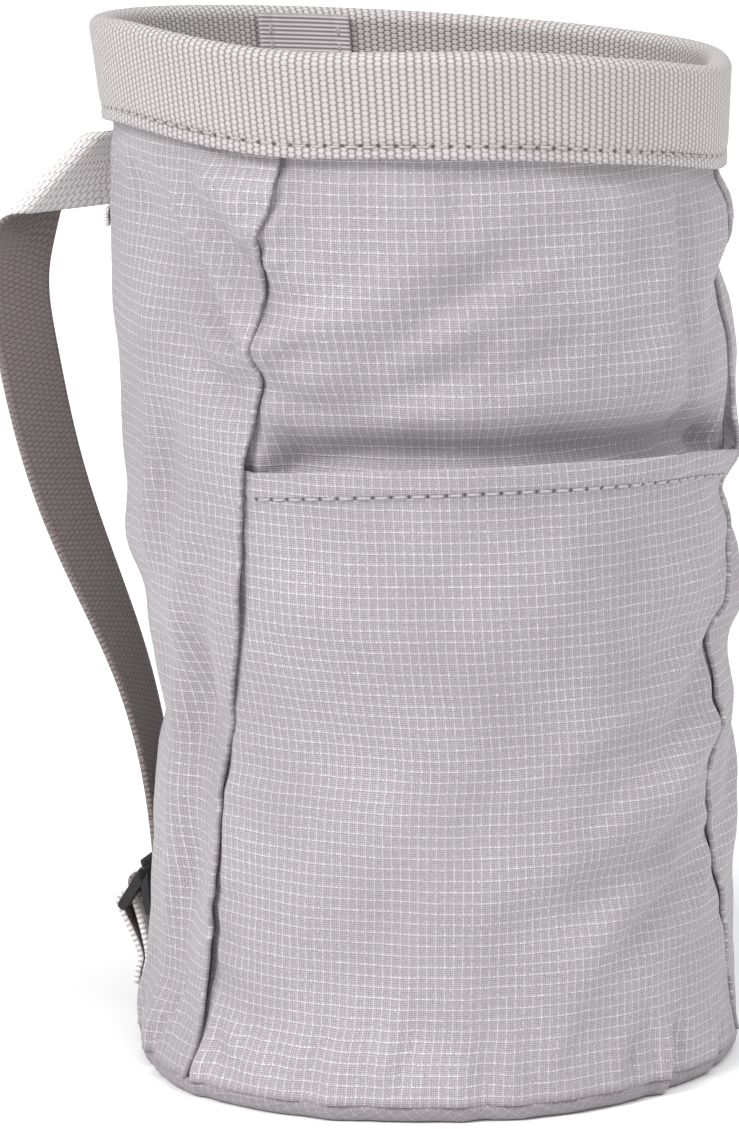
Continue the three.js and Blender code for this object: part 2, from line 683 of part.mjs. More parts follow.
// Outline of a bar with round ends that may differ, between two places with x outwards and y upwards.
function roundBar(from, to, fromRadius, toRadius) {
  const angle = Math.atan2(to.height - from.height, to.out - from.out);
  const shape = new THREE.Shape();
  shape.absarc(to.out, to.height, toRadius, angle - Math.PI / 2, angle + Math.PI / 2, false);
  shape.absarc(from.out, from.height, fromRadius, angle + Math.PI / 2, angle + 1.5 * Math.PI, false);
  return shape;
}

// The ladder lock: two bent rails joined by three bars and a thumb edge.
// Its own X runs outwards from the wall, Y upwards from the floor and Z along the bars.
function ladderLock() {
  const inner = strapWidth + 2 * railGap;
  const outer = inner + 2 * railWidth;
  const slab = (shape, from, depth) => {
    return new THREE.ExtrudeGeometry(shape, { depth, bevelEnabled: false, curveSegments: 6 }).translate(0, 0, from);
  };
  const [top, middleBar, lower] = ["top", "middle", "lower"].map((bar) => inLock(bar, 0, 0));
  const foot = { height: top.height - footLength, out: clearance + barRadius + footPlay };
  const lip = { height: top.height + lipLength, out: top.out + lipLean * lipLength };
  const rails = [-outer / 2, inner / 2].flatMap((from) => [
    slab(roundBar(top, lower, railRadius, railRadius), from, railWidth),
    slab(roundBar(top, foot, railRadius, barRadius), from, railWidth),
  ]);
  const cross = [top, middleBar, lower].map((bar) => {
    const rod = new THREE.CylinderGeometry(barRadius, barRadius, outer - railWidth, 12).rotateX(Math.PI / 2);
    return rod.translate(bar.out, bar.height, 0);
  });
  cross.push(slab(roundBar(top, lip, barRadius, lipTaper * barRadius), -outer / 2, outer));
  return joined([...rails, ...cross]);
}

// Places the lock's own frame against the wall.
function lockFrame() {
  const origin = beside(lockAzimuth, lockHeight, 0).setZ(0);
  const frame = new THREE.Matrix4().makeBasis(towards(lockAzimuth), up, towards(lockAzimuth + 90).negate());
  return frame.setPosition(origin);
}

// A short folded end of webbing, sewn on below the strap.
function sideTab() {
  const half = THREE.MathUtils.radToDeg(tabWidth / 2 / baseRadius);
  return sheet(2, 4, (u, v, side) => {
    const azimuth = tabAzimuth + lerp(-half, half, u);
    const height = mouthHeight - tabBelowRim - tabHeight * (1 - v);
    const swell = side === 0 ? tabThickness * lerp(tabEnds, 1, Math.sin(Math.PI * v)) : 0;
    return beside(azimuth, height, clearance + swell);
  });
}

const bag = new THREE.Group();
bag.add(piece("front_panel", frontPanel(), ripstop, 0.7));
bag.add(piece("wrap_panel", wrapPanel(), ripstop, 0.7));
bag.add(piece("front_pocket", frontPocket(), ripstop, 0.7));
bag.add(piece("base_panel", basePanel(), ripstop, 0.8));
bag.add(piece("rim_band", rimBand(), webbingGrey, 0.85));
bag.add(piece("rim_join_tape", rimJoinTape(), webbingGrey, 0.85));

const strap = new THREE.Group();
strap.add(piece("carry_strap", carryStrap(), webbingGrey, 0.85));
strap.add(piece("anchor_webbing", anchorWebbing(), webbingGrey, 0.85));
strap.add(piece("side_tab", sideTab(), webbingGrey, 0.85));
const lockMesh = piece("ladder_lock", ladderLock(), plasticBlack, 0.35);
lockMesh.applyMatrix4(lockFrame());
strap.add(lockMesh);
bag.add(strap);

export default bag;
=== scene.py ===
"""Climbing chalk bag: the finished look of a soft cloth bag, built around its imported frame.

Lengths are in metres and azimuths in degrees: 0 points to -Y, 90 to +X and -90 to -X, the strap's side.
"""

import math

import bmesh
import bpy
import numpy as np
from bpy.props import FloatProperty, FloatVectorProperty, IntProperty, PointerProperty
from mathutils import Matrix, Vector


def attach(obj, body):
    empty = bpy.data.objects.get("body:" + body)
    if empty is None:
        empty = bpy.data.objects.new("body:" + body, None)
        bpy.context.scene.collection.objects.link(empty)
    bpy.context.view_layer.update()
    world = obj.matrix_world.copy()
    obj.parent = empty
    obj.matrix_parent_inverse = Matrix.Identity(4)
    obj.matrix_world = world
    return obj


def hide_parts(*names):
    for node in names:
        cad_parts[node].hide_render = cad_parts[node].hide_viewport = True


bl_info = {
    "name": "Chalk Bag",
    "version": (1, 0, 0),
    "blender": (4, 5, 0),
    "location": "3D View > Sidebar > Chalk Bag",
    "description": "Builds a climbing chalk bag in cloth, webbing and plastic around its packed frame",
    "category": "Object",
}

MM = 0.001
BODY = "root"
UV_NAME = "cloth"  # u and v in millimetres of cloth, along the threads
STITCH_UV = "stitch"  # millimetres along a stitch line, and away from it

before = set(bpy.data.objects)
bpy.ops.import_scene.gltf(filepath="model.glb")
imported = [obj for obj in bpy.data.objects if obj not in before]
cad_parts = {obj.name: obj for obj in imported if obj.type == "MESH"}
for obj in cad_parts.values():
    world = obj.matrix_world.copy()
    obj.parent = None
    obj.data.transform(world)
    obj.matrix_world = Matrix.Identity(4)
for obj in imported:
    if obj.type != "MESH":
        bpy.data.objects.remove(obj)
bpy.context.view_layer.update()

# Sections of the cloth wall. at: share of the height from the base seam to the rim's top edge.
# reach: radius as a share of the base radius. lean: shift to the lean side as a share of it.
SECTIONS = [
    {"at": 0.0, "reach": 1.0, "lean": 0.002},
    {"at": 0.045, "reach": 0.984, "lean": -0.004},
    {"at": 0.08, "reach": 0.966, "lean": -0.016},
    {"at": 0.2, "reach": 0.96, "lean": -0.022},
    {"at": 0.28, "reach": 0.95, "lean": -0.024},
    {"at": 0.33, "reach": 0.94, "lean": -0.034},
    {"at": 0.385, "reach": 0.956, "lean": -0.02},
    {"at": 0.46, "reach": 0.992, "lean": 0.004},
    {"at": 0.54, "reach": 0.994, "lean": 0.014},
    {"at": 0.7, "reach": 1.009, "lean": 0.038},
    {"at": 0.78, "reach": 1.004, "lean": 0.054},
    {"at": 0.84, "reach": 1.004, "lean": 0.062},
    {"at": 0.9, "reach": 0.998, "lean": 0.068},
    {"at": 1.0, "reach": 1.01, "lean": 0.082},
]

# Seams between the front panel and the wrap panel, as azimuths at each share of the wall's height.
SEAMS = [
    {"at": 0.0, "left": -67.5, "right": 68},
    {"at": 0.06, "left": -67.3, "right": 66},
    {"at": 0.1, "left": -68.6, "right": 59.5},
    {"at": 0.17, "left": -67.5, "right": 55.2},
    {"at": 0.3, "left": -65.6, "right": 53},
    {"at": 0.39, "left": -60.5, "right": 50.8},
    {"at": 0.45, "left": -56, "right": 51.6},
    {"at": 0.53, "left": -54, "right": 58},
    {"at": 0.61, "left": -51.6, "right": 62.5},
    {"at": 0.7, "left": -47.6, "right": 64},
    {"at": 0.82, "left": -44.8, "right": 64},
    {"at": 0.87, "left": -41.6, "right": 64},
    {"at": 1.0, "left": -41, "right": 64},
]

# Dents, folds and bulges. depth: share of the base radius, inwards if below zero. wide: degrees.
# tall: share of the wall's height. slant: degrees that the fold drifts per unit of height share.
FOLDS = [
    {"azimuth": -62, "at": 0.0, "wide": 24, "tall": 0.05, "depth": 0.06, "slant": 0},
    {"azimuth": 74, "at": 0.79, "wide": 13, "tall": 0.022, "depth": -0.032, "slant": 0},
    {"azimuth": 60, "at": 0.76, "wide": 10, "tall": 0.03, "depth": -0.018, "slant": -260},
    {"azimuth": 66, "at": 0.845, "wide": 16, "tall": 0.03, "depth": 0.012, "slant": 0},
    {"azimuth": -66, "at": 0.875, "wide": 7, "tall": 0.05, "depth": -0.022, "slant": 120},
    {"azimuth": -57, "at": 0.8, "wide": 6, "tall": 0.045, "depth": -0.012, "slant": -120},
    {"azimuth": -72, "at": 0.74, "wide": 8, "tall": 0.06, "depth": -0.016, "slant": -150},
    {"azimuth": -84, "at": 0.42, "wide": 7, "tall": 0.09, "depth": -0.034, "slant": -90},
    {"azimuth": -72, "at": 0.5, "wide": 5, "tall": 0.07, "depth": 0.014, "slant": -60},
    {"azimuth": -76, "at": 0.2, "wide": 6, "tall": 0.05, "depth": -0.022, "slant": 100},
    {"azimuth": -30, "at": 0.77, "wide": 11, "tall": 0.025, "depth": -0.018, "slant": 320},
    {"azimuth": -8, "at": 0.7, "wide": 14, "tall": 0.028, "depth": -0.012, "slant": 260},
    {"azimuth": 34, "at": 0.42, "wide": 12, "tall": 0.045, "depth": -0.016, "slant": 240},
    {"azimuth": 26, "at": 0.3, "wide": 10, "tall": 0.04, "depth": 0.012, "slant": 260},
    {"azimuth": 44, "at": 0.22, "wide": 9, "tall": 0.05, "depth": -0.016, "slant": 200},
    {"azimuth": -18, "at": 0.34, "wide": 22, "tall": 0.14, "depth": 0.01, "slant": 0},
    {"azimuth": 122, "at": 0.56, "wide": 12, "tall": 0.06, "depth": -0.024, "slant": 160},
    {"azimuth": 164, "at": 0.36, "wide": 15, "tall": 0.07, "depth": -0.024, "slant": -180},
    {"azimuth": -150, "at": 0.62, "wide": 14, "tall": 0.06, "depth": -0.02, "slant": 170},
]

# Waves of the rim's edge. rise: share of the band's height.
RIM_WAVES = [
    {"azimuth": -79, "wide": 16, "rise": 0.045},
    {"azimuth": -40, "wide": 16, "rise": -0.045},
    {"azimuth": 4, "wide": 22, "rise": 0.07},
    {"azimuth": 58, "wide": 18, "rise": -0.09},
]

# Mouth line of the pocket. across: -1 at the left seam, 1 at the right. drop: share of the mouth's height.
POCKET_LINE = [
    {"across": -1, "drop": 0.012},
    {"across": -0.6, "drop": 0.002},
    {"across": -0.1, "drop": -0.002},
    {"across": 0.3, "drop": 0.003},
    {"across": 0.7, "drop": 0.012},
    {"across": 1, "drop": 0.026},
]

# The hanging stretch of the strap. at: share of the mouth's height. turn: degrees past the lock.
# out: share of the stand-off. face: azimuth that the strap's inner side looks to, past the lock.
HANG = [
    {"at": 0.69, "turn": 5.6, "out": 1.02, "face": 147},
    {"at": 0.61, "turn": 4.6, "out": 0.98, "face": 151},
    {"at": 0.53, "turn": 3, "out": 0.84, "face": 157},
    {"at": 0.45, "turn": 1.4, "out": 0.62, "face": 165},
    {"at": 0.37, "turn": 0.6, "out": 0.46, "face": 174},
    {"at": 0.3, "turn": 0, "out": 0.24, "face": 180},
]

# The strap's way through the lock, down and out from a bar's middle, as multiples of the thread gap.
THREAD = [
    {"bar": "top", "down": 0.1, "out": -1.02},
    {"bar": "top", "down": 0.8, "out": -0.64},
    {"bar": "middle", "down": -1.03, "out": 0},
    {"bar": "middle", "down": -0.76, "out": 0.76},
    {"bar": "middle", "down": 0, "out": 1.06},
    {"bar": "middle", "down": 0.76, "out": 0.76},
    {"bar": "middle", "down": 1.06, "out": 0},
    {"bar": "middle", "down": 1.1, "out": -0.9},
]

# The strap's free tail. drop: below the middle bar as a share of the lower window.
# out: from its seat on the wall, as a share of the thread gap.
TAIL = [
    {"drop": 0.86, "out": 1},
    {"drop": 1.3, "out": 0.35},
    {"drop": 1.75, "out": 0},
]

# Small unevenness of slack cloth. length: millimetres from crest to crest. turn: degrees from upright.
# depth: millimetres.
RIPPLES = [
    {"length": 41, "turn": 24, "depth": 0.34, "phase": 0.3},
    {"length": 29, "turn": -38, "depth": 0.26, "phase": 1.9},
    {"length": 19, "turn": 61, "depth": 0.15, "phase": 4.1},
    {"length": 13, "turn": -12, "depth": 0.09, "phase": 2.6},
    {"length": 9, "turn": 47, "depth": 0.05, "phase": 0.8},
]

# Groups of small creases. azimuth and at: middle of the group. spread: degrees, and rise: share of the
# wall's height, that its creases scatter over. turn: degrees of a crease from level. fan: scatter of turn.
# long, wide, deep: millimetres.
CREASES = [
    {"azimuth": -28, "at": 0.73, "spread": 14, "rise": 0.05, "count": 7, "turn": 26, "fan": 16,
     "long": 22, "wide": 3.6, "deep": 0.85},
    {"azimuth": -70, "at": 0.82, "spread": 5, "rise": 0.03, "count": 2, "turn": -34, "fan": 8,
     "long": 22, "wide": 8.0, "deep": 1.5},
    {"azimuth": -42, "at": 0.72, "spread": 4, "rise": 0.14, "count": 14, "turn": 12, "fan": 24,
     "long": 10, "wide": 2.3, "deep": 0.42},
    {"azimuth": -58, "at": 0.78, "spread": 6, "rise": 0.1, "count": 12, "turn": -38, "fan": 18,
     "long": 15, "wide": 2.8, "deep": 0.8},
    {"azimuth": -78, "at": 0.4, "spread": 8, "rise": 0.22, "count": 12, "turn": 78, "fan": 16,
     "long": 26, "wide": 3.6, "deep": 0.9},
    {"azimuth": -62, "at": 0.3, "spread": 4, "rise": 0.28, "count": 18, "turn": -14, "fan": 26,
     "long": 9, "wide": 2.3, "deep": 0.34},
    {"azimuth": 36, "at": 0.3, "spread": 14, "rise": 0.14, "count": 12, "turn": 38, "fan": 14,
     "long": 24, "wide": 3.8, "deep": 0.8},
    {"azimuth": 50, "at": 0.36, "spread": 4, "rise": 0.34, "count": 20, "turn": 8, "fan": 26,
     "long": 9, "wide": 2.4, "deep": 0.28},
    {"azimuth": 20, "at": 0.72, "spread": 30, "rise": 0.1, "count": 10, "turn": 70, "fan": 40,
     "long": 16, "wide": 3.4, "deep": 0.45},
    {"azimuth": 0, "at": 0.035, "spread": 180, "rise": 0.025, "count": 70, "turn": 88, "fan": 22,
     "long": 8, "wide": 1.9, "deep": 0.5},
    {"azimuth": 0, "at": 0.865, "spread": 180, "rise": 0.015, "count": 60, "turn": 90, "fan": 14,
     "long": 7, "wide": 1.9, "deep": 0.4},
    {"azimuth": 155, "at": 0.5, "spread": 100, "rise": 0.34, "count": 46, "turn": 30, "fan": 60,
     "long": 26, "wide": 4.2, "deep": 0.85},
]

# Places where something is sewn on or rests, so that the cloth lies flat there, with at, wide and tall
# as in the folds.
CALM = [
    {"azimuth": -171, "at": 0.85, "wide": 26, "tall": 0.07},
    {"azimuth": -122.5, "at": 0.09, "wide": 12, "tall": 0.1},
    {"azimuth": -110, "at": 0.8, "wide": 6, "tall": 0.03},
]

CREASE_SEED = 11
CREASE_DEPTH = 1.35  # all creases are this many times as deep as their table says
CREASE_SCATTER = 0.45  # most that a crease differs from its group's size, as a share of it
CREASE_BEND = 0.35  # most that a crease curves to one side
# The raised lip beside a crease: its height as a share of the valley's depth, and its distance and
# width as shares of the valley's width.
LIP = {"rise": 0.7, "away": 1.5, "wide": 1.1}

# The front panel dips behind the pocket's mouth. above and tall: shares of the wall's height.
# deep: share of the pocket's gape.
DIPS = [
    {"above": 0, "tall": 0.06, "deep": 1},
    {"above": 0.01, "tall": 0.024, "deep": 3.1},
]
DIP_HELD = 9 * MM  # the dip begins at the seams and is whole this far from them
POCKET_LAYER = 0.1  # share of the wall's height over which the front panel comes out above the pocket
# The open corner of the pocket at the right seam, with inside in degrees from the seam.
CORNER = {"inside": 4, "wide": 4, "above": 0.004, "tall": 0.018, "deep": 3.2 * MM}

SEAM_ALLOWANCE = 2.6 * MM  # the front's cloth runs on this far under the wrap panel
SEAM_DIP = 1.35 * MM  # and dips this far inwards there
SEAM_SLOPE = (-0.6 * MM, 2.2 * MM)  # from where to where beside the seam it dips
SEAM_ROLL = 0.35 * MM  # the wrap panel's folded edge stands out this far
SEAM_ROLL_WIDTH = 1.1 * MM
BASE_RISE = 1.3 * MM  # the wall's foot is drawn up this far above the base seam's lowest edge
BASE_OVERLAP = 0.25 * MM  # the base's edge goes on this far up behind the wall's foot
BASE_TURN = 33  # degrees that the base's cloth is cut off the straight grain
BASE_PUCKER = {"deep": 0.3 * MM, "long": 1.75 * MM}  # long: length of a wave over two pi
WALL_ROWS = 0.9  # share of a panel's rows below the rim's tuck
WALL_LAYER = 0.85  # one sheet of the wall as a share of the cloth with its seam layers
POCKET_SHEET = 0.42  # the pocket's sheet, likewise
STITCH_ENDS = (0.14, 0.86)  # where a stitch starts and ends, as shares of the pitch
WEB_LAYER = 0.95  # webbing, as a share of the thickness that its solid has
THREAD_SEAT = 0.25 * MM  # the stitches lie this far inside the rim's surface
HEM_LINE = 0.94  # the hem's stitch line below the mouth, as a share of the hem's height

# The pocket's hem, up the outside, over the fold and down the inside. rise: height as a share of the hem.
# inwards: share of the cloth's thickness.
HEM = [
    {"rise": 0.0, "inwards": 0.0},
    {"rise": 0.06, "inwards": -0.2},
    {"rise": 0.3, "inwards": -0.42},
    {"rise": 0.7, "inwards": -0.42},
    {"rise": 0.94, "inwards": -0.36},
    {"rise": 1.0, "inwards": -0.1},
    {"rise": 1.0, "inwards": 0.2},
    {"rise": 0.93, "inwards": 0.45},
    {"rise": 0.5, "inwards": 0.5},
    {"rise": 0.1, "inwards": 0.5},
]

# The base's edge, from the floor up to the seam and back over the top. inset: share of the foot's inset.
# up: share of the edge's height.
BASE_EDGE = [
    {"inset": 1.0, "up": 0.0},
    {"inset": 0.62, "up": 0.08},
    {"inset": 0.34, "up": 0.3},
    {"inset": 0.16, "up": 0.62},
    {"inset": 0.12, "up": 0.86},
    {"inset": 0.3, "up": 1.0},
]

# The rim webbing is pulled in along its stitches, wavers and hangs a little unevenly.
RIM_GROOVE = {"deep": 0.32 * MM, "wide": 0.9 * MM}
RIM_WOBBLE = 0.22 * MM
RIM_HANG = 0.25 * MM
TAPE_ENDS = (1 * MM, 1.2 * MM)  # inside the inner leg's lower edge, and below the rim's top edge
TAPE_STITCH_INSET = 2.6 * MM  # from the tape's edges to its stitches
TAPE_BED = {"deep": 0.25 * MM, "wide": 0.7 * MM}  # the groove that these stitches lie in

# The box of stitches on the strap's sewn end. half: half its height as a share of the strap's width.
# out: height above the strap's middle as a share of its thickness.
BOX = {"half": 0.36, "out": 0.42, "start": 2 * MM, "long": 10 * MM}
LOCK_SOFTNESS = 0.3 * MM  # radius of the lock's edges
LOCK_FOOT_GAP = 0.5 * MM  # the rails' feet stay this far off the cloth

# Large soft lights far away, so that the floor is evenly lit. spread: degrees that each one fills.
LIGHTS = [
    {"name": "key", "azimuth": -62, "rise": 44, "spread": 28, "strength": 0.78},
    {"name": "fill", "azimuth": 38, "rise": 60, "spread": 60, "strength": 0.53},
]
ROOM_LIGHT = 0.42

# Yarns of the two webbings, in millimetres. gaps: how fast a yarn darkens beside it and towards its ends.
RIM_WEAVE = {"column": 1.5, "row": 1.03, "relief": 0.3, "gaps": (3.4, 2.2)}
STRAP_WEAVE = {"column": 1.45, "row": 1.12, "relief": 0.2, "gaps": (1.3, 3.0)}
MIX_COLOURS = {"give": 2, "data_type": "RGBA"}


def length(name, description, default):
    return FloatProperty(name=name, description=description, default=default, unit="LENGTH", precision=4)


def angle(name, description, degrees):
    return FloatProperty(
        name=name, description=description, default=math.radians(degrees), subtype="ANGLE"
    )


def linear(code):
    """A colour written as sRGB hex, as the linear values that Blender works in."""
    parts = [int(code[i : i + 2], 16) / 255 for i in (1, 3, 5)]
    return tuple(c / 12.92 if c <= 0.04045 else ((c + 0.055) / 1.055) ** 2.4 for c in parts)


HOLE_SHADE = linear("#4b4446")


def colour(name, description, code):
    return FloatVectorProperty(
        name=name, description=description, default=linear(code), subtype="COLOR", size=3, min=0, max=1
    )


class BagSizes(bpy.types.PropertyGroup):
    """Sizes of the bag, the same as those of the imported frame."""

    base_radius: length("Base radius", "Outside of the cloth wall at the foot", 60 * MM)
    mouth_height: length("Mouth height", "Middle of the rim's top edge above the floor", 202.6 * MM)
    mouth_radius: length("Mouth radius", "Outside of the rim at its top edge", 62.3 * MM)
    mouth_tilt: angle("Mouth tilt", "How far the rim leans out of level", 4.25)
    mouth_high_side: angle("High side", "Azimuth of the rim's highest point", -69)
    lean_side: angle("Lean side", "Azimuth that the soft body leans to", -112)
    cloth_thickness: length("Cloth", "Thickness of the cloth wall with its seam layers", 1.2 * MM)
    base_thickness: length("Base cloth", "Thickness of the base", 1.4 * MM)
    seam_height: length("Seam height", "The base seam above the floor", 2.2 * MM)
    foot_inset: length("Foot inset", "How far the flat base stays inside the seam", 3 * MM)
    clearance: length("Clearance", "Between two pieces that are sewn together", 0.3 * MM)
    seam_groove: length("Seam groove", "Width of the groove along a seam between two panels", 0.7 * MM)
    band_height: length("Band height", "Outside leg of the folded rim webbing", 20 * MM)
    inner_band_height: length("Inner band", "Inside leg of the folded rim webbing", 18 * MM)
    band_thickness: length("Band thickness", "Thickness of the rim webbing", 1.5 * MM)
    band_taper: length("Band taper", "How much narrower the rim is at its lower edge", 1.7 * MM)
    tuck_length: length("Tuck", "Height over which the wall draws in under the rim", 7 * MM)
    fold_depth: length("Fold depth", "Solid webbing over the cloth's raw edge", 2.4 * MM)
    tape_width: length("Tape width", "Grosgrain tape over the webbing's joint", 20 * MM)
    tape_thickness: length("Tape", "Thickness of the grosgrain tape", 0.8 * MM)
    tape_azimuth: angle("Tape azimuth", "Where the rim webbing is joined", -173)
    pocket_height: length("Pocket height", "Mouth of the pocket above the floor", 127.5 * MM)
    hem_height: length("Hem", "Height of the folded hem", 5.4 * MM)
    pocket_gape: length("Pocket gape", "How far the pocket's mouth stands off the panel", 1.6 * MM)
    strap_width: length("Strap width", "Width of the strap", 14.5 * MM)
    strap_thickness: length("Strap", "Thickness of the strap", 1.2 * MM)
    strap_height: length("Strap height", "Middle of the sewn end above the floor", 172.5 * MM)
    strap_end_azimuth: angle("Strap end", "Azimuth of the sewn end", -188)
    strap_leave_azimuth: angle("Strap leaves", "Azimuth where the strap leaves the wall", -155)
    strap_free_length: length("Free length", "From the wall to the fold", 38.8 * MM)
    fold_angle: angle("Fold angle", "Between the fold and the strap's run", 36)
    fold_radius: length("Fold radius", "Radius of the strap's fold", 1.7 * MM)
    strap_stand_off: length("Stand-off", "Greatest distance between the strap and the wall", 20 * MM)
    lock_azimuth: angle("Lock azimuth", "Where the ladder lock sits", -122.5)
    lock_height: length("Lock height", "Middle bar of the ladder lock above the floor", 29.6 * MM)
    lock_lean: angle("Lock lean", "Between the lock and the wall", 32)
    bar_radius: length("Bar radius", "Radius of the lock's bars", 0.75 * MM)
    upper_window: length("Upper window", "From the top bar to the middle bar", 3.4 * MM)
    lower_window: length("Lower window", "From the middle bar to the lower bar", 4.9 * MM)
    rail_width: length("Rail width", "Width of each rail", 2 * MM)
    rail_radius: length("Rail radius", "Half the thickness of each rail", 1.1 * MM)
    rail_gap: length("Rail gap", "Between the strap's selvedge and a rail", 0.6 * MM)
    foot_length: length("Rail foot", "Leg of each rail that lies along the wall", 8.2 * MM)
    lip_length: length("Thumb edge", "Thumb edge outside the top bar", 1.7 * MM)
    anchor_sewn: length("Anchor stitching", "Height over which the anchor is sewn on", 6 * MM)
    anchor_root: length("Anchor root", "Where the anchor webbing leaves the wall", 14.5 * MM)
    tab_width: length("Tab width", "Width of the side tab", 6 * MM)
    tab_height: length("Tab height", "Height of the side tab", 3.6 * MM)
    tab_thickness: length("Tab", "Thickness of the side tab", 1.1 * MM)
    tab_azimuth: angle("Tab azimuth", "Where the side tab sits", -110)
    tab_above: length("Tab top", "Top of the side tab above the floor", 168.2 * MM)
    stitch_pitch: length("Stitch pitch", "From one stitch to the next", 3.45 * MM)
    thread_radius: length("Thread radius", "Radius of the sewing thread", 0.24 * MM)
    rim_stitch: length("Rim stitching", "Stitch line above the rim's lower edge", 2.5 * MM)
    grid_across: length("Grid across", "Distance between upright ripstop threads", 1.78 * MM)
    grid_up: length("Grid up", "Distance between level ripstop threads", 2.12 * MM)


class BagColours(bpy.types.PropertyGroup):
    """Colours of the materials."""

    cloth: colour("Cloth", "Coated ripstop between the grid threads", "#8d878c")
    grid: colour("Grid thread", "Raised ripstop grid threads", "#f0edef")
    base: colour("Base cloth", "Ripstop of the base between its grid threads", "#827b80")
    base_grid: colour("Base grid", "Grid threads of the base", "#c9c3c7")
    rim: colour("Rim webbing", "Pale yarn of the rim webbing", "#c6c0c0")
    rim_gap: colour("Rim gaps", "Between the yarns of the rim webbing", "#7f7879")
    strap: colour("Strap webbing", "Yarn of the strap's pale face", "#eeeaea")
    strap_gap: colour("Strap gaps", "Between the yarns of the pale face", "#a09899")
    # The strap's darker face is the strap's own yarn darkened as painted shade, where the strap hangs in the
    # bag's shade. The pale face above is the strap's own yarn.
    strap_back: colour("Strap back", "Yarn of the strap's darker face", "#8a7f7d")
    strap_back_gap: colour("Strap back gaps", "Between the yarns of the darker face", "#4d4543")
    tape: colour("Tape", "Grosgrain tape", "#d2cbcd")
    thread: colour("Thread", "Sewing thread", "#c3bec0")
    plastic: colour("Plastic", "Moulded plastic", "#1a1819")


class BagView(bpy.types.PropertyGroup):
    """The camera and the floor."""

    azimuth: angle("Camera azimuth", "Side of the bag that the camera looks at", -15.4)
    distance: length("Distance", "From the camera to the point it aims at", 1.197)
    camera_height: length("Camera height", "Camera above the floor", 0.3408)
    aim_side: length("Aim, sideways", "X of the point in the middle of the picture", -12.93 * MM)
    aim_back: length("Aim, backwards", "Y of the point in the middle of the picture", 3.47 * MM)
    aim_height: length("Aim, height", "Height of the point in the middle of the picture", 97.2 * MM)
    roll: angle("Roll", "Turn of the camera about its own axis", -0.34)
    lens: FloatProperty(name="Lens", description="Focal length", default=128.87, unit="CAMERA")
    floor_size: length("Floor", "Side of the floor", 60)
    detail: IntProperty(name="Detail", description="Fineness of the meshes", default=60, min=8)


def through(xs, ys, place):
    """Values of a smooth curve through points, at places."""
    xs = np.asarray(xs, float)
    ys = np.asarray(ys, float)
    place = np.clip(place, xs[0], xs[-1])
    slope = np.empty(len(xs))
    slope[1:-1] = (ys[2:] - ys[:-2]) / (xs[2:] - xs[:-2])
    slope[0] = (ys[1] - ys[0]) / (xs[1] - xs[0])
    slope[-1] = (ys[-1] - ys[-2]) / (xs[-1] - xs[-2])
    i = np.clip(np.searchsorted(xs, place, side="left") - 1, 0, len(xs) - 2)
    span = xs[i + 1] - xs[i]
    t = (place - xs[i]) / span
    return (
        (2 * t**3 - 3 * t**2 + 1) * ys[i]
        + (t**3 - 2 * t**2 + t) * span * slope[i]
        + (3 * t**2 - 2 * t**3) * ys[i + 1]
        + (t**3 - t**2) * span * slope[i + 1]
    )


def along(rows, column, value, place):
    return through([r[column] for r in rows], [r[value] for r in rows], place)


def towards(azimuth):
    """Horizontal unit vectors that point to azimuths."""
    turn = np.radians(azimuth)
    return np.stack([np.sin(turn), -np.cos(turn), np.zeros_like(turn)], axis=-1)


def turn_from(azimuth, start):
    return (azimuth - start + 180) % 360 - 180


def bell(x):
    return np.exp(-x * x)


def smooth(x, low, high):
    t = np.clip((x - low) / (high - low), 0, 1)
    return t * t * (3 - 2 * t)


def mix(a, b, share):
    return a + (b - a) * share


def together(*values):
    """Numbers and arrays as float arrays of one shape."""
    return np.broadcast_arrays(*(np.asarray(value, float) for value in values))


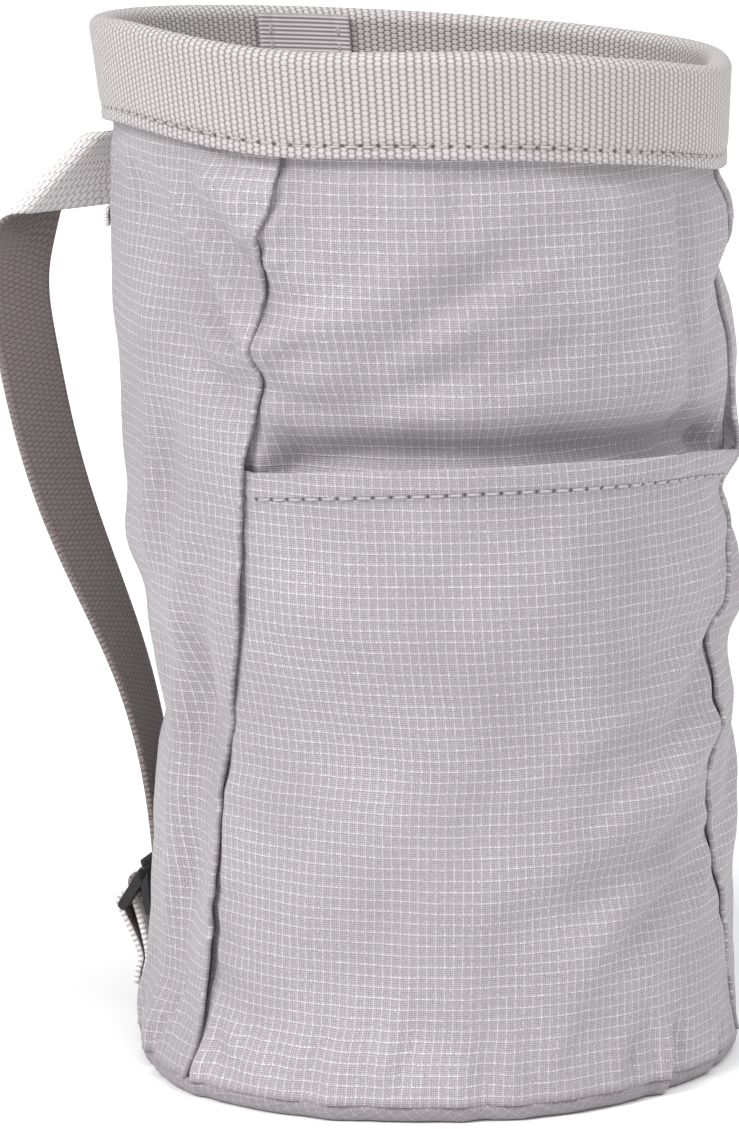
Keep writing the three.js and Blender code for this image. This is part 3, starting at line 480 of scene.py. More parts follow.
class Form:
    """The bag's form, worked out from its sizes. It holds each size by name, and angles in degrees."""

    def __init__(self, sizes):
        for name in sizes.__annotations__:
            value = getattr(sizes, name)
            turn = sizes.bl_rna.properties[name].unit == "ROTATION"
            setattr(self, name, math.degrees(value) if turn else value)
        self.seam_half = math.degrees(self.seam_groove / self.base_radius / 2)
        self.slot_width = self.cloth_thickness + 2 * self.clearance
        self.band_depth = 2 * self.band_thickness + self.slot_width
        self.strap_seat = self.clearance + self.strap_thickness / 2
        self.thread_gap = self.bar_radius + self.clearance + self.strap_thickness / 2

    def mouth_top(self, azimuth):
        """Height of the rim's top edge."""
        lift = math.tan(math.radians(self.mouth_tilt)) * self.mouth_radius
        height = self.mouth_height + lift * np.cos(np.radians(azimuth - self.mouth_high_side))
        for wave in RIM_WAVES:
            bump = bell(turn_from(azimuth, wave["azimuth"]) / wave["wide"])
            height = height + wave["rise"] * self.band_height * bump
        return height

    def middle(self, at):
        """Middle of the body at a share of its height."""
        shift = along(SECTIONS, "at", "lean", at) * self.base_radius
        return np.asarray(shift)[..., None] * towards(self.lean_side)

    def share_below_rim(self, azimuth, down):
        return 1 - down / (self.mouth_top(azimuth) - self.seam_height)

    def share_at_height(self, azimuth, height):
        return (height - self.seam_height) / (self.mouth_top(azimuth) - self.seam_height)

    def band_radius(self, down):
        return self.mouth_radius - self.band_taper * (down / self.band_height)

    def slack(self, azimuth, at):
        """Small ripples of the cloth, and puckers at the base seam and under the rim."""
        u = np.radians(azimuth) * self.base_radius / MM
        v = at * self.mouth_height / MM
        # The ripples wander by up to 4 mm, so that none of them runs straight.
        warp = 2.2 * np.sin(u / 17 + 1.3 * np.sin(v / 23)) + 1.6 * np.sin(v / 11 + np.sin(u / 19))
        depth = 0
        for ripple in RIPPLES:
            turn = math.radians(ripple["turn"])
            phase = 2 * math.pi * (u * math.cos(turn) + v * math.sin(turn) + warp) / ripple["length"]
            depth = depth + ripple["depth"] * np.sin(phase + ripple["phase"])
        depth = depth + self.creases(azimuth, at)
        for place in CALM:
            near = bell(turn_from(azimuth, place["azimuth"]) / place["wide"])
            depth = depth * (1 - near * bell((at - place["at"]) / place["tall"]))
        return MM * depth

    def creases(self, azimuth, at):
        """Small folds: each a valley with a raised lip beside it. In millimetres."""
        rng = np.random.default_rng(CREASE_SEED)
        radius, height = self.base_radius / MM, self.mouth_height / MM
        depth = np.zeros(np.broadcast(azimuth, at).shape)
        for group in CREASES:
            for _ in range(group["count"]):
                side, rise, fan, size, curve = rng.uniform(-1, 1, 5)
                off = turn_from(azimuth, group["azimuth"] + side * group["spread"])
                u = np.radians(off) * radius
                v = (at - group["at"] - rise * group["rise"]) * height
                turn = math.radians(group["turn"] + fan * group["fan"])
                scale = 1 + CREASE_SCATTER * size
                run = (u * math.cos(turn) + v * math.sin(turn)) / (group["long"] * scale)
                across = (v * math.cos(turn) - u * math.sin(turn)) / (group["wide"] * scale)
                across = across + CREASE_BEND * curve * run * run
                fold = LIP["rise"] * bell((across - LIP["away"]) / LIP["wide"]) - bell(across)
                depth = depth + CREASE_DEPTH * group["deep"] * scale * fold * bell(run)
        return depth

    def wall_radius(self, azimuth, at, slack=1):
        """Outside radius of the cloth wall with its folds, tucked under the rim at the top."""
        radius = along(SECTIONS, "at", "reach", at) * self.base_radius
        for fold in FOLDS:
            off = turn_from(azimuth, fold["azimuth"]) - fold["slant"] * (at - fold["at"])
            dent = bell(off / fold["wide"]) * bell((at - fold["at"]) / fold["tall"])
            radius = radius + fold["depth"] * self.base_radius * dent
        radius = radius + slack * self.slack(azimuth, at)
        down = (1 - at) * (self.mouth_top(azimuth) - self.seam_height)
        tucked = self.band_radius(down) - self.band_thickness - self.clearance
        low, high = self.band_height + self.clearance, self.band_height + self.tuck_length
        return mix(radius, tucked, 1 - smooth(down, low, high))

    def on_wall(self, azimuth, at, inwards, slack=1):
        """Places on the wall, a distance inwards from its outside."""
        azimuth, at, inwards = together(azimuth, at, inwards)
        radius = self.wall_radius(azimuth, at, slack) - inwards
        place = self.middle(at) + radius[..., None] * towards(azimuth)
        place[..., 2] = mix(self.seam_height, self.mouth_top(azimuth), at)
        return place

    def beside(self, azimuth, height, out):
        """Places beside the wall, at a height and a distance from the cloth."""
        azimuth, height, out = together(azimuth, height, out)
        place = self.on_wall(azimuth, self.share_at_height(azimuth, height), -out, 0)
        place[..., 2] = height
        return place

    def pocket_mouth(self, azimuth):
        """Height of the pocket's mouth."""
        rough = self.pocket_height / self.mouth_height
        left = along(SEAMS, "at", "left", rough)
        right = along(SEAMS, "at", "right", rough)
        in_front = 2 * (azimuth - left) / (right - left) - 1
        behind = 1 - 2 * (azimuth - right) / (360 + left - right)
        across = np.where(azimuth > right, behind, in_front)
        return self.pocket_height - along(POCKET_LINE, "across", "drop", across) * self.mouth_height

    def front_depth(self, azimuth, at):
        """How far the front panel lies inside the wall: under the pocket, and in the dip at its mouth."""
        mouth = self.share_at_height(azimuth, self.pocket_mouth(azimuth))
        above = at - mouth
        under = 1 - smooth(above, 0, POCKET_LAYER)
        left = along(SEAMS, "at", "left", at)
        right = along(SEAMS, "at", "right", at)
        edge = np.radians(np.minimum(azimuth - left, right - azimuth)) * self.base_radius
        dip = sum(row["deep"] * bell((above - row["above"]) / row["tall"]) for row in DIPS)
        dip = dip * smooth(edge, 0, DIP_HELD) * self.pocket_gape
        beside = bell((azimuth - right + CORNER["inside"]) / CORNER["wide"])
        corner = CORNER["deep"] * beside * bell((above - CORNER["above"]) / CORNER["tall"])
        return under * (self.cloth_thickness + self.clearance) + dip + corner

    def cloth_top(self, azimuth):
        """Share of the wall's height where its cloth ends, inside the rim."""
        return self.share_below_rim(azimuth, self.fold_depth + self.clearance)

    def front_edges(self, at):
        """Azimuths of the front's left and right edge."""
        left = along(SEAMS, "at", "left", at) + self.seam_half
        return left, along(SEAMS, "at", "right", at) - self.seam_half

    def foot(self, azimuth):
        """Share of the wall's height where its cloth begins."""
        return self.share_at_height(azimuth, self.seam_height + BASE_RISE)

    def tucked_edges(self, at):
        """Edges of the front's cloth, which runs on under the wrap panel's folded edge."""
        allowance = math.degrees(SEAM_ALLOWANCE / self.base_radius)
        left, right = self.front_edges(at)
        return left - allowance, right + allowance

    def under_seam(self, azimuth, at):
        """How far the front's cloth dips near its seams, to pass under the wrap panel."""
        edge = self.edge_distance(azimuth, self.front_edges, at)
        return SEAM_DIP * (1 - smooth(edge, *SEAM_SLOPE))

    def rolled_edge(self, azimuth, at):
        """How far the wrap panel stands out near its folded edges."""
        return SEAM_ROLL * np.exp(-self.edge_distance(azimuth, self.wrap_edges, at) / SEAM_ROLL_WIDTH)

    def wrap_edges(self, at):
        """Azimuths of the wrap panel's edges, from the right seam round the back to the left one."""
        right = along(SEAMS, "at", "right", at) + self.seam_half
        return right, 360 + along(SEAMS, "at", "left", at) - self.seam_half

    def in_panel(self, across, edges, height):
        """Azimuths and height shares of places in a panel whose edges follow the seams.

        The height depends on the azimuth and the edges on the height, so both are worked out a few times.
        """
        low, high = edges(0.5)
        azimuth = mix(low, high, across)
        for _ in range(5):
            low, high = edges(height(azimuth))
            azimuth = mix(low, high, across)
        return azimuth, height(azimuth)

    def edge_distance(self, azimuth, edges, at):
        """Distance from a panel's nearer side edge."""
        low, high = edges(at)
        return np.radians(np.minimum(azimuth - low, high - azimuth)) * self.base_radius

    def on_rim(self, azimuth, inwards, down):
        """Places on the rim, inwards from its outside and down from the top edge."""
        azimuth, inwards, down = together(azimuth, inwards, down)
        at = self.share_below_rim(azimuth, down)
        radius = self.band_radius(down) - inwards
        place = self.middle(at) + radius[..., None] * towards(azimuth)
        place[..., 2] = self.mouth_top(azimuth) - down
        return place

    def in_lock(self, bar, down, out):
        """Height and distance from the wall of a place in the ladder lock."""
        lean = math.radians(self.lock_lean)
        start = {"top": -self.upper_window, "middle": 0, "lower": self.lower_window}[bar]
        run = start + down * self.thread_gap
        away = out * self.thread_gap
        height = self.lock_height - run * math.cos(lean) + away * math.sin(lean)
        seat = self.strap_seat + self.thread_gap
        return height, seat + (run + self.upper_window) * math.sin(lean) + away * math.cos(lean)

    def at_lock(self, bar, down, out):
        height, distance = self.in_lock(bar, down, out)
        return self.beside(self.lock_azimuth, height, distance)


def mesh_piece(name, places, faces, uv_maps, material):
    """A mesh object. uv_maps has a pair for each face corner by map name, in the order of the faces."""
    data = bpy.data.meshes.new(name)
    data.from_pydata([tuple(p) for p in places], [], faces)
    for key, values in (uv_maps or {}).items():
        layer = data.uv_layers.new(name=key)
        layer.data.foreach_set("uv", np.asarray(values, np.float32).ravel())
    data.shade_smooth()
    data.materials.append(material)
    piece = bpy.data.objects.new(name, data)
    bpy.context.scene.collection.objects.link(piece)
    return piece


def grid_piece(name, places, uv, material, closed=False, stitch=None):
    """A sheet from a grid of places, with (u, v) in millimetres for each.

    closed joins its last column to its first. stitch has (distance along, distance from) a stitch line.
    """
    columns, rows = places.shape[:2]
    i, j = np.meshgrid(np.arange(columns - 1), np.arange(rows - 1), indexing="ij")
    corners = [(i, j), (i + 1, j), (i + 1, j + 1), (i, j + 1)]
    kept = places[:-1] if closed else places
    index = [((a % len(kept)) * rows + b).ravel() for a, b in corners]
    faces = np.stack(index, axis=-1).tolist()
    maps = {UV_NAME: uv} if stitch is None else {UV_NAME: uv, STITCH_UV: stitch}
    uvs = {}
    for key, values in maps.items():
        flat = values.reshape(-1, 2)
        uvs[key] = np.stack([flat[(a * rows + b).ravel()] for a, b in corners], axis=1)
    return mesh_piece(name, kept.reshape(-1, 3), faces, uvs, material)


def thicken(piece, thickness, offset=-1):
    """Gives a sheet its thickness. offset -1 keeps the outside where it is, and 0 keeps the middle."""
    solidify = piece.modifiers.new("thickness", "SOLIDIFY")
    solidify.thickness = thickness
    solidify.offset = offset
    solidify.use_even_offset = False
    return piece


def finish_piece(piece, slot, *nodes):
    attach(piece, BODY)
    if nodes:
        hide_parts(*nodes)
    return piece


def tube(path, radius, sides):
    """Rings of places round a path, narrowed at its ends as thread is where it goes into the cloth."""
    path = np.asarray(path, float)
    step = np.gradient(path, axis=0)
    step /= np.linalg.norm(step, axis=1, keepdims=True)
    helper = np.where(np.abs(step[:, 2:3]) > 0.8, [[1.0, 0, 0]], [[0, 0, 1.0]])
    a = np.cross(step, helper)
    a /= np.linalg.norm(a, axis=1, keepdims=True)
    b = np.cross(step, a)
    turn = 2 * math.pi * np.arange(sides) / sides
    along_it = np.linspace(-1, 1, len(path))
    width = radius * np.sqrt(np.clip(1 - along_it**6, 0.12, 1))
    ring = a[:, None] * np.cos(turn)[None, :, None] + b[:, None] * np.sin(turn)[None, :, None]
    return path[:, None] + ring * width[:, None, None]


def path_marks(points):
    """Millimetres along a path."""
    return np.concatenate([[0], np.cumsum(np.linalg.norm(np.diff(points, axis=0), axis=1))]) / MM


def stitches(name, form, lines, material, slot):
    """One mesh of lock stitches.

    Each line is (places, normals, marks), with a stitch for each pitch of marks, in millimetres. A stitch
    comes out of one needle hole, lies on the cloth and goes into the next.
    """
    places, faces = [], []
    sides = 6
    pitch = form.stitch_pitch / MM
    share = np.linspace(*STITCH_ENDS, 7)
    bulge = 1.5 * np.sin(math.pi * share) ** 0.6 - 1.05  # in thread radii, below the cloth at both ends
    for points, normals, marks in lines:
        points = np.asarray(points, float)
        run = path_marks(points) if marks is None else marks
        for k in range(math.ceil(run[0] / pitch), math.floor(run[-1] / pitch)):
            where = (k + share) * pitch
            path = np.stack([np.interp(where, run, points[:, c]) for c in range(3)], axis=1)
            out = np.stack([np.interp(where, run, np.asarray(normals)[:, c]) for c in range(3)], axis=1)
            rings = tube(path + out * form.thread_radius * bulge[:, None], form.thread_radius, sides)
            start = sum(len(p) for p in places)
            places.append(rings.reshape(-1, 3))
            for r in range(len(rings) - 1):
                for s in range(sides):
                    a, b = start + r * sides + s, start + r * sides + (s + 1) % sides
                    faces.append((a, b, b + sides, a + sides))
            faces.append(tuple(start + s for s in reversed(range(sides))))
            faces.append(tuple(start + (len(rings) - 1) * sides + s for s in range(sides)))
    piece = mesh_piece(name, np.concatenate(places), faces, None, material)
    return finish_piece(piece, slot)


def add(tree, kind, inputs=(), give=0, **settings):
    """Adds a shader node with its settings, its input values or links, and returns one of its outputs."""
    node = tree.nodes.new("ShaderNode" + kind)
    for name, value in settings.items():
        setattr(node, name, value)
    pairs = inputs.items() if isinstance(inputs, dict) else enumerate(inputs)
    for key, value in pairs:
        if isinstance(value, bpy.types.NodeSocket):
            tree.links.new(value, node.inputs[key])
        else:
            socket = node.inputs[key]
            socket.default_value = (*value, 1) if socket.type == "RGBA" and len(value) == 3 else value
    return node.outputs[give]


def material(name, surface):
    """A material by name, made once. surface(tree) returns the settings of its Principled shader."""
    found = bpy.data.materials.get(name)
    if found:
        return found
    made = bpy.data.materials.new(name)
    made.use_nodes = True
    tree = made.node_tree
    tree.nodes.clear()
    shader = add(tree, "BsdfPrincipled", surface(tree))
    end = tree.nodes.new("ShaderNodeOutputMaterial")
    tree.links.new(shader, end.inputs["Surface"])
    return made


def stripes(tree, place, pitch, width):
    """1 on lines that repeat each pitch, and 0 between them, with soft edges. All in millimetres."""
    share = add(tree, "Math", [place, pitch], operation="DIVIDE")
    off = add(tree, "Math", [add(tree, "Math", [share], operation="FRACT"), 0.5], operation="SUBTRACT")
    away = add(tree, "Math", [add(tree, "Math", [off], operation="ABSOLUTE"), pitch], operation="MULTIPLY")
    return add(tree, "MapRange", [away, 0.0, width, 1.0, 0.0], interpolation_type="SMOOTHSTEP")


def wave(tree, place, pitch, low, high):
    """A sine along place, from low to high."""
    turn = add(tree, "Math", [place, 2 * math.pi / pitch], operation="MULTIPLY")
    return add(tree, "MapRange", [add(tree, "Math", [turn], operation="SINE"), -1.0, 1.0, low, high])


def cloth_places(tree, wander):
    """u and v of the cloth in millimetres, wandering a little as woven threads do."""
    uv = add(tree, "UVMap", uv_map=UV_NAME)
    noise = add(tree, "TexNoise", {"Vector": uv, "Scale": 0.09, "Detail": 2.0}, give="Color")
    centred = add(tree, "VectorMath", [noise, (0.5, 0.5, 0.5)], operation="SUBTRACT")
    moved = add(tree, "VectorMath", {0: centred, "Scale": wander}, operation="SCALE")
    both = add(tree, "VectorMath", [uv, moved], operation="ADD")
    u, v, _ = add(tree, "SeparateXYZ", [both]).node.outputs
    return uv, u, v


def total(tree, *values):
    """Sum of sockets, each with its factor."""
    first, factor = values[0]
    result = add(tree, "Math", [first, factor], operation="MULTIPLY")
    for value, factor in values[1:]:
        result = add(tree, "Math", [value, factor, result], operation="MULTIPLY_ADD")
    return result


def needle_holes(tree, pitch, long):
    """1 in the needle holes of a stitch line, and 0 elsewhere. long: millimetres from a hole's middle."""
    place = add(tree, "UVMap", uv_map=STITCH_UV)
    run, off, _ = add(tree, "SeparateXYZ", [place]).node.outputs
    near = stripes(tree, add(tree, "Math", [run, 0.5 * pitch]), pitch, long)
    away = add(tree, "Math", [off], operation="ABSOLUTE")
    on_line = add(tree, "MapRange", [away, 0.2, 0.5, 1.0, 0.0], interpolation_type="SMOOTHSTEP")
    return add(tree, "Math", [near, on_line], operation="MULTIPLY")


def ripstop(name, cloth, grid, form, stitched=False):
    """Polyurethane coated nylon ripstop.

    Its doubled grid threads stand out as pale broken lines, the plain weave between them gives a fine grey
    speckle, and the coating a faint sheen.
    """

    def surface(tree):
        uv, u, v = cloth_places(tree, 0.5)
        across, up = form.grid_across / MM, form.grid_up / MM
        upright = stripes(tree, u, across, 0.21)
        level = stripes(tree, v, up, 0.23)
        # Each grid thread goes over and under the others, so that it shows as a row of short dashes.
        over = wave(tree, u, across / 2, 0.25, 1.0)
        dashes = add(tree, "Math", [level, over], operation="MULTIPLY")
        crossing = add(tree, "Math", [upright, level], operation="MULTIPLY")
        # The weave is drawn about three times as coarse as the real threads of 0.15 mm, so that it shows.
        ribs = wave(tree, v, up / 5, 0.0, 1.0)
        picks = wave(tree, u, across / 4, 0.0, 1.0)
        weave = add(tree, "Math", [ribs, picks], operation="MULTIPLY")
        raised = ((upright, 0.05), (level, 0.07), (crossing, 0.06), (ribs, 0.035), (weave, 0.03))
        height = total(tree, *raised)
        # Clouds of about 28 mm in the coating, and specks of about 0.6 mm along the yarns.
        shade = add(tree, "TexNoise", {"Vector": uv, "Scale": 0.035, "Detail": 3.0})
        yarn = add(tree, "TexNoise", {"Vector": uv, "Scale": 1.7, "Detail": 2.0})
        lines = total(tree, (upright, 0.42), (dashes, 0.72), (crossing, 0.45))
        worn = add(tree, "MapRange", [yarn, 0.35, 0.65, 0.45, 1.1])
        lines = add(tree, "Math", [lines, worn], operation="MULTIPLY")
        pale = total(tree, (lines, 1.0), (weave, 0.42), (yarn, 0.36))
        pale = add(tree, "Math", [pale, 0.12], operation="SUBTRACT", use_clamp=True)
        base = add(tree, "Mix", {0: pale, 6: cloth, 7: grid}, **MIX_COLOURS)
        darker = tuple(0.84 * c for c in cloth)
        stained = add(tree, "MapRange", [shade, 0.35, 0.75, 0.3, 0.0])
        base = add(tree, "Mix", {0: stained, 6: base, 7: darker}, **MIX_COLOURS)
        if stitched:
            holes = needle_holes(tree, form.stitch_pitch / MM, 0.62)
            base = add(tree, "Mix", {0: holes, 6: base, 7: HOLE_SHADE}, **MIX_COLOURS)
            height = total(tree, (height, 1.0), (holes, -0.3))
        return {
            "Base Color": base,
            "Roughness": add(tree, "MapRange", [pale, 0.0, 1.0, 0.66, 0.48]),
            "Sheen Weight": 0.15,
            "Sheen Roughness": 0.5,
            "Normal": add(tree, "Bump", {"Distance": MM, "Height": height}),
        }

    return material(name, surface)


def webbing(name, yarn, gap, weave, pitch=None):
    """Woven nylon webbing: plump matt yarns in columns, with dark gaps between them in a brick pattern.

    pitch: that of the stitch line, if it has one.
    """

    def surface(tree):
        uv, u, v = cloth_places(tree, 0.25)
        column = add(tree, "Math", [u, weave["column"]], operation="DIVIDE")
        number = add(tree, "Math", [column], operation="FLOOR")
        odd = add(tree, "Math", [add(tree, "Math", [number, 0.5], operation="MULTIPLY")], operation="FRACT")
        row = add(tree, "Math", [v, weave["row"]], operation="DIVIDE")
        squares = []
        for line in (column, add(tree, "Math", [row, odd], operation="ADD")):
            share = add(tree, "Math", [line], operation="FRACT")
            off = add(tree, "Math", [share, 0.5], operation="SUBTRACT")
            squares.append(add(tree, "Math", [off, off], operation="MULTIPLY"))
        away = total(tree, *zip(squares, weave["gaps"]))
        plump = add(tree, "MapRange", [away, 0.12, 1.25, 1.0, 0.0], interpolation_type="SMOOTHSTEP")
        # Loose fibres of about 0.3 mm, four strands to a yarn, and clouds of about 12 mm in the dye.
        fibre = add(tree, "TexNoise", {"Vector": uv, "Scale": 3.0, "Detail": 2.0})
        strands = wave(tree, u, weave["column"] / 4, 0.0, 1.0)
        shade = add(tree, "TexNoise", {"Vector": uv, "Scale": 0.08, "Detail": 2.0})
        pale = total(tree, (plump, 0.95), (fibre, 0.22), (shade, 0.12))
        pale = add(tree, "Math", [pale, 0.12], operation="SUBTRACT", use_clamp=True)
        base = add(tree, "Mix", {0: pale, 6: gap, 7: yarn}, **MIX_COLOURS)
        if pitch:
            holes = needle_holes(tree, pitch, 0.95)
            base = add(tree, "Mix", {0: holes, 6: base, 7: HOLE_SHADE}, **MIX_COLOURS)
        height = total(tree, (plump, weave["relief"]), (strands, 0.03), (fibre, 0.05))
        return {
            "Base Color": base,
            "Roughness": 0.72,
            "Sheen Weight": 0.2,
            "Sheen Roughness": 0.4,
            "Normal": add(tree, "Bump", {"Distance": MM, "Height": height}),
        }

    return material(name, surface)


def grosgrain(colours):
    """Woven polyester grosgrain: rounded ribs across the tape catch the light in lines 0.85 mm apart."""

    def surface(tree):
        uv, u, v = cloth_places(tree, 0.15)
        ribs = wave(tree, v, 0.85, 0.0, 1.0)
        fibre = add(tree, "TexNoise", {"Vector": uv, "Scale": 4.0, "Detail": 2.0})
        pale = total(tree, (ribs, 0.7), (fibre, 0.3))
        low = tuple(0.62 * c for c in colours.tape)
        height = total(tree, (ribs, 0.14), (fibre, 0.03))
        return {
            "Base Color": add(tree, "Mix", {0: pale, 6: low, 7: colours.tape}, **MIX_COLOURS),
            "Roughness": 0.6,
            "Sheen Weight": 0.2,
            "Normal": add(tree, "Bump", {"Distance": MM, "Height": height}),
        }

    return material("ribbed_grosgrain", surface)


def twisted_thread(colours):
    """Twisted polyester sewing thread. Its plies show as specks, drawn at 0.4 mm, coarser than real ones."""

    def surface(tree):
        place = add(tree, "TexCoord", give="Object")
        ply = add(tree, "TexNoise", {"Vector": place, "Scale": 2.6 / MM, "Detail": 2.0})
        low = tuple(0.6 * c for c in colours.thread)
        return {
            "Base Color": add(tree, "Mix", {0: ply, 6: low, 7: colours.thread}, **MIX_COLOURS),
            "Roughness": 0.6,
            "Sheen Weight": 0.2,
        }

    return material("twisted_sewing_thread", surface)


def moulded_plastic(colours):
    """Injection-moulded acetal: smooth and slightly glossy, duller where it is rubbed.

    The mould's spark-eroded grain is drawn at 0.3 mm, coarser than the real one, so that it shows.
    """

    def surface(tree):
        place = add(tree, "TexCoord", give="Object")
        grain = add(tree, "TexNoise", {"Vector": place, "Scale": 3.5 / MM, "Detail": 2.0})
        worn = add(tree, "TexNoise", {"Vector": place, "Scale": 0.26 / MM, "Detail": 3.0})
        low = tuple(0.8 * c for c in colours.plastic)
        return {
            "Base Color": add(tree, "Mix", {0: worn, 6: low, 7: colours.plastic}, **MIX_COLOURS),
            "Roughness": add(tree, "MapRange", [worn, 0.3, 0.7, 0.34, 0.5]),
            "Normal": add(tree, "Bump", {"Distance": MM, "Height": total(tree, (grain, 0.02))}),
        }

    return material("moulded_acetal", surface)


def studio_floor():
    """Uncoated paper sweep, nearly white, with faint clouds of about 17 mm."""

    def surface(tree):
        place = add(tree, "TexCoord", give="Object")
        fibre = add(tree, "TexNoise", {"Vector": place, "Scale": 0.06 / MM, "Detail": 3.0})
        ends = {6: linear("#f7f7f7"), 7: linear("#fcfcfc")}
        return {"Base Color": add(tree, "Mix", {0: fibre, **ends}, **MIX_COLOURS), "Roughness": 0.9}

    return material("paper_floor", surface)


def settings():
    scene = bpy.context.scene
    return Form(scene.bag_sizes), scene.bag_colours, scene.bag_view


def crowded(count, crowding):
    """Shares from 0 to 1 that lie closer together at both ends."""
    t = np.linspace(0, 1, count)
    return t - crowding * np.sin(2 * math.pi * t) / (2 * math.pi)


def millimetres(azimuth, place, form):
    """(u, v) of places on the wall: distance round it and height, in millimetres."""
    u = np.radians(azimuth) * form.base_radius / MM
    return np.stack([u, place[..., 2] / MM], axis=-1)


class BuildStage(bpy.types.Operator):
    """Adds the camera, the soft lights and the floor"""

    bl_idname = "chalk_bag.build_stage"
    bl_label = "Stage"

    def execute(self, context):
        view = context.scene.bag_view
        aim = Vector((view.aim_side, view.aim_back, view.aim_height))
        rise = view.camera_height - view.aim_height
        reach = math.sqrt(view.distance**2 - rise**2)
        away = Vector(towards(math.degrees(view.azimuth))) * reach
        place = aim + away + Vector((0, 0, rise))
        camera = bpy.data.objects.new("camera", bpy.data.cameras.new("camera"))
        camera.data.sensor_fit = "VERTICAL"
        camera.data.sensor_height = 24
        camera.data.lens = view.lens
        look = (aim - place).to_track_quat("-Z", "Y").to_matrix().to_4x4()
        camera.matrix_world = Matrix.Translation(place) @ look @ Matrix.Rotation(view.roll, 4, "Z")
        context.scene.collection.objects.link(camera)
        context.scene.camera = camera
        self.add_lights(context)
        self.add_floor(view)
        context.scene.view_settings.view_transform = "Standard"
        return {"FINISHED"}

    def add_lights(self, context):
        for light in LIGHTS:
            data = bpy.data.lights.new(light["name"], "SUN")
            data.energy = light["strength"] * math.pi
            data.angle = math.radians(light["spread"])
            lamp = bpy.data.objects.new(light["name"], data)
            rise = math.radians(light["rise"])
            aim = Vector(towards(light["azimuth"])) * math.cos(rise) + Vector((0, 0, math.sin(rise)))
            lamp.location = aim
            lamp.rotation_euler = (-aim).to_track_quat("-Z", "Y").to_euler()
            context.scene.collection.objects.link(lamp)
        world = bpy.data.worlds.new("studio")
        world.use_nodes = True
        background = world.node_tree.nodes["Background"]
        background.inputs["Color"].default_value = (1, 1, 1, 1)
        background.inputs["Strength"].default_value = ROOM_LIGHT
        context.scene.world = world

    def add_floor(self, view):
        half = view.floor_size / 2
        corners = [(-half, -half, 0), (half, -half, 0), (half, half, 0), (-half, half, 0)]
        floor = mesh_piece("floor", corners, [(0, 1, 2, 3)], None, studio_floor())


def wall_rows(form, share):
    """The wall's height share at shares of a panel's rows, as a function of the azimuth.

    The last rows follow the cloth up inside the rim.
    """

    def at(azimuth):
        edge = form.share_below_rim(azimuth, form.band_height + form.tuck_length)
        low = mix(form.foot(azimuth), edge, share / WALL_ROWS)
        high = mix(edge, form.cloth_top(azimuth), (share - WALL_ROWS) / (1 - WALL_ROWS))
        return np.where(share < WALL_ROWS, low, high)

    return at


def wall_panel(name, form, edges, columns, rows, crowding, inwards, cloth):
    """A panel of the wall. inwards(azimuth, at) is how far it lies inside the wall's outside."""
    across = crowded(columns + 1, crowding)[:, None]
    share = np.linspace(0, 1, rows + 1)[None, :]
    azimuth, at = form.in_panel(across, edges, wall_rows(form, share))
    places = form.on_wall(azimuth, at, inwards(azimuth, at))
    piece = grid_piece(name, places, millimetres(azimuth, places, form), cloth)
    thicken(piece, form.cloth_thickness * WALL_LAYER)
    return finish_piece(piece, "ripstop_cloth", name)


class BuildWall(bpy.types.Operator):
    """Adds the front panel and the panel that wraps round the sides and the back"""

    bl_idname = "chalk_bag.build_wall"
    bl_label = "Cloth wall"

    def execute(self, context):
        form, colours, view = settings()
        cloth = ripstop("coated_ripstop_nylon", colours.cloth, colours.grid, form)
        rows = 2 * view.detail + 20

        def front(azimuth, at):
            return form.front_depth(azimuth, at) + form.under_seam(azimuth, at)

        def wrap(azimuth, at):
            return -form.rolled_edge(azimuth, at)

        wall_panel("front_panel", form, form.tucked_edges, 2 * view.detail, rows, 0.6, front, cloth)
        wall_panel("wrap_panel", form, form.wrap_edges, 4 * view.detail, rows, 0.7, wrap, cloth)
        return {"FINISHED"}


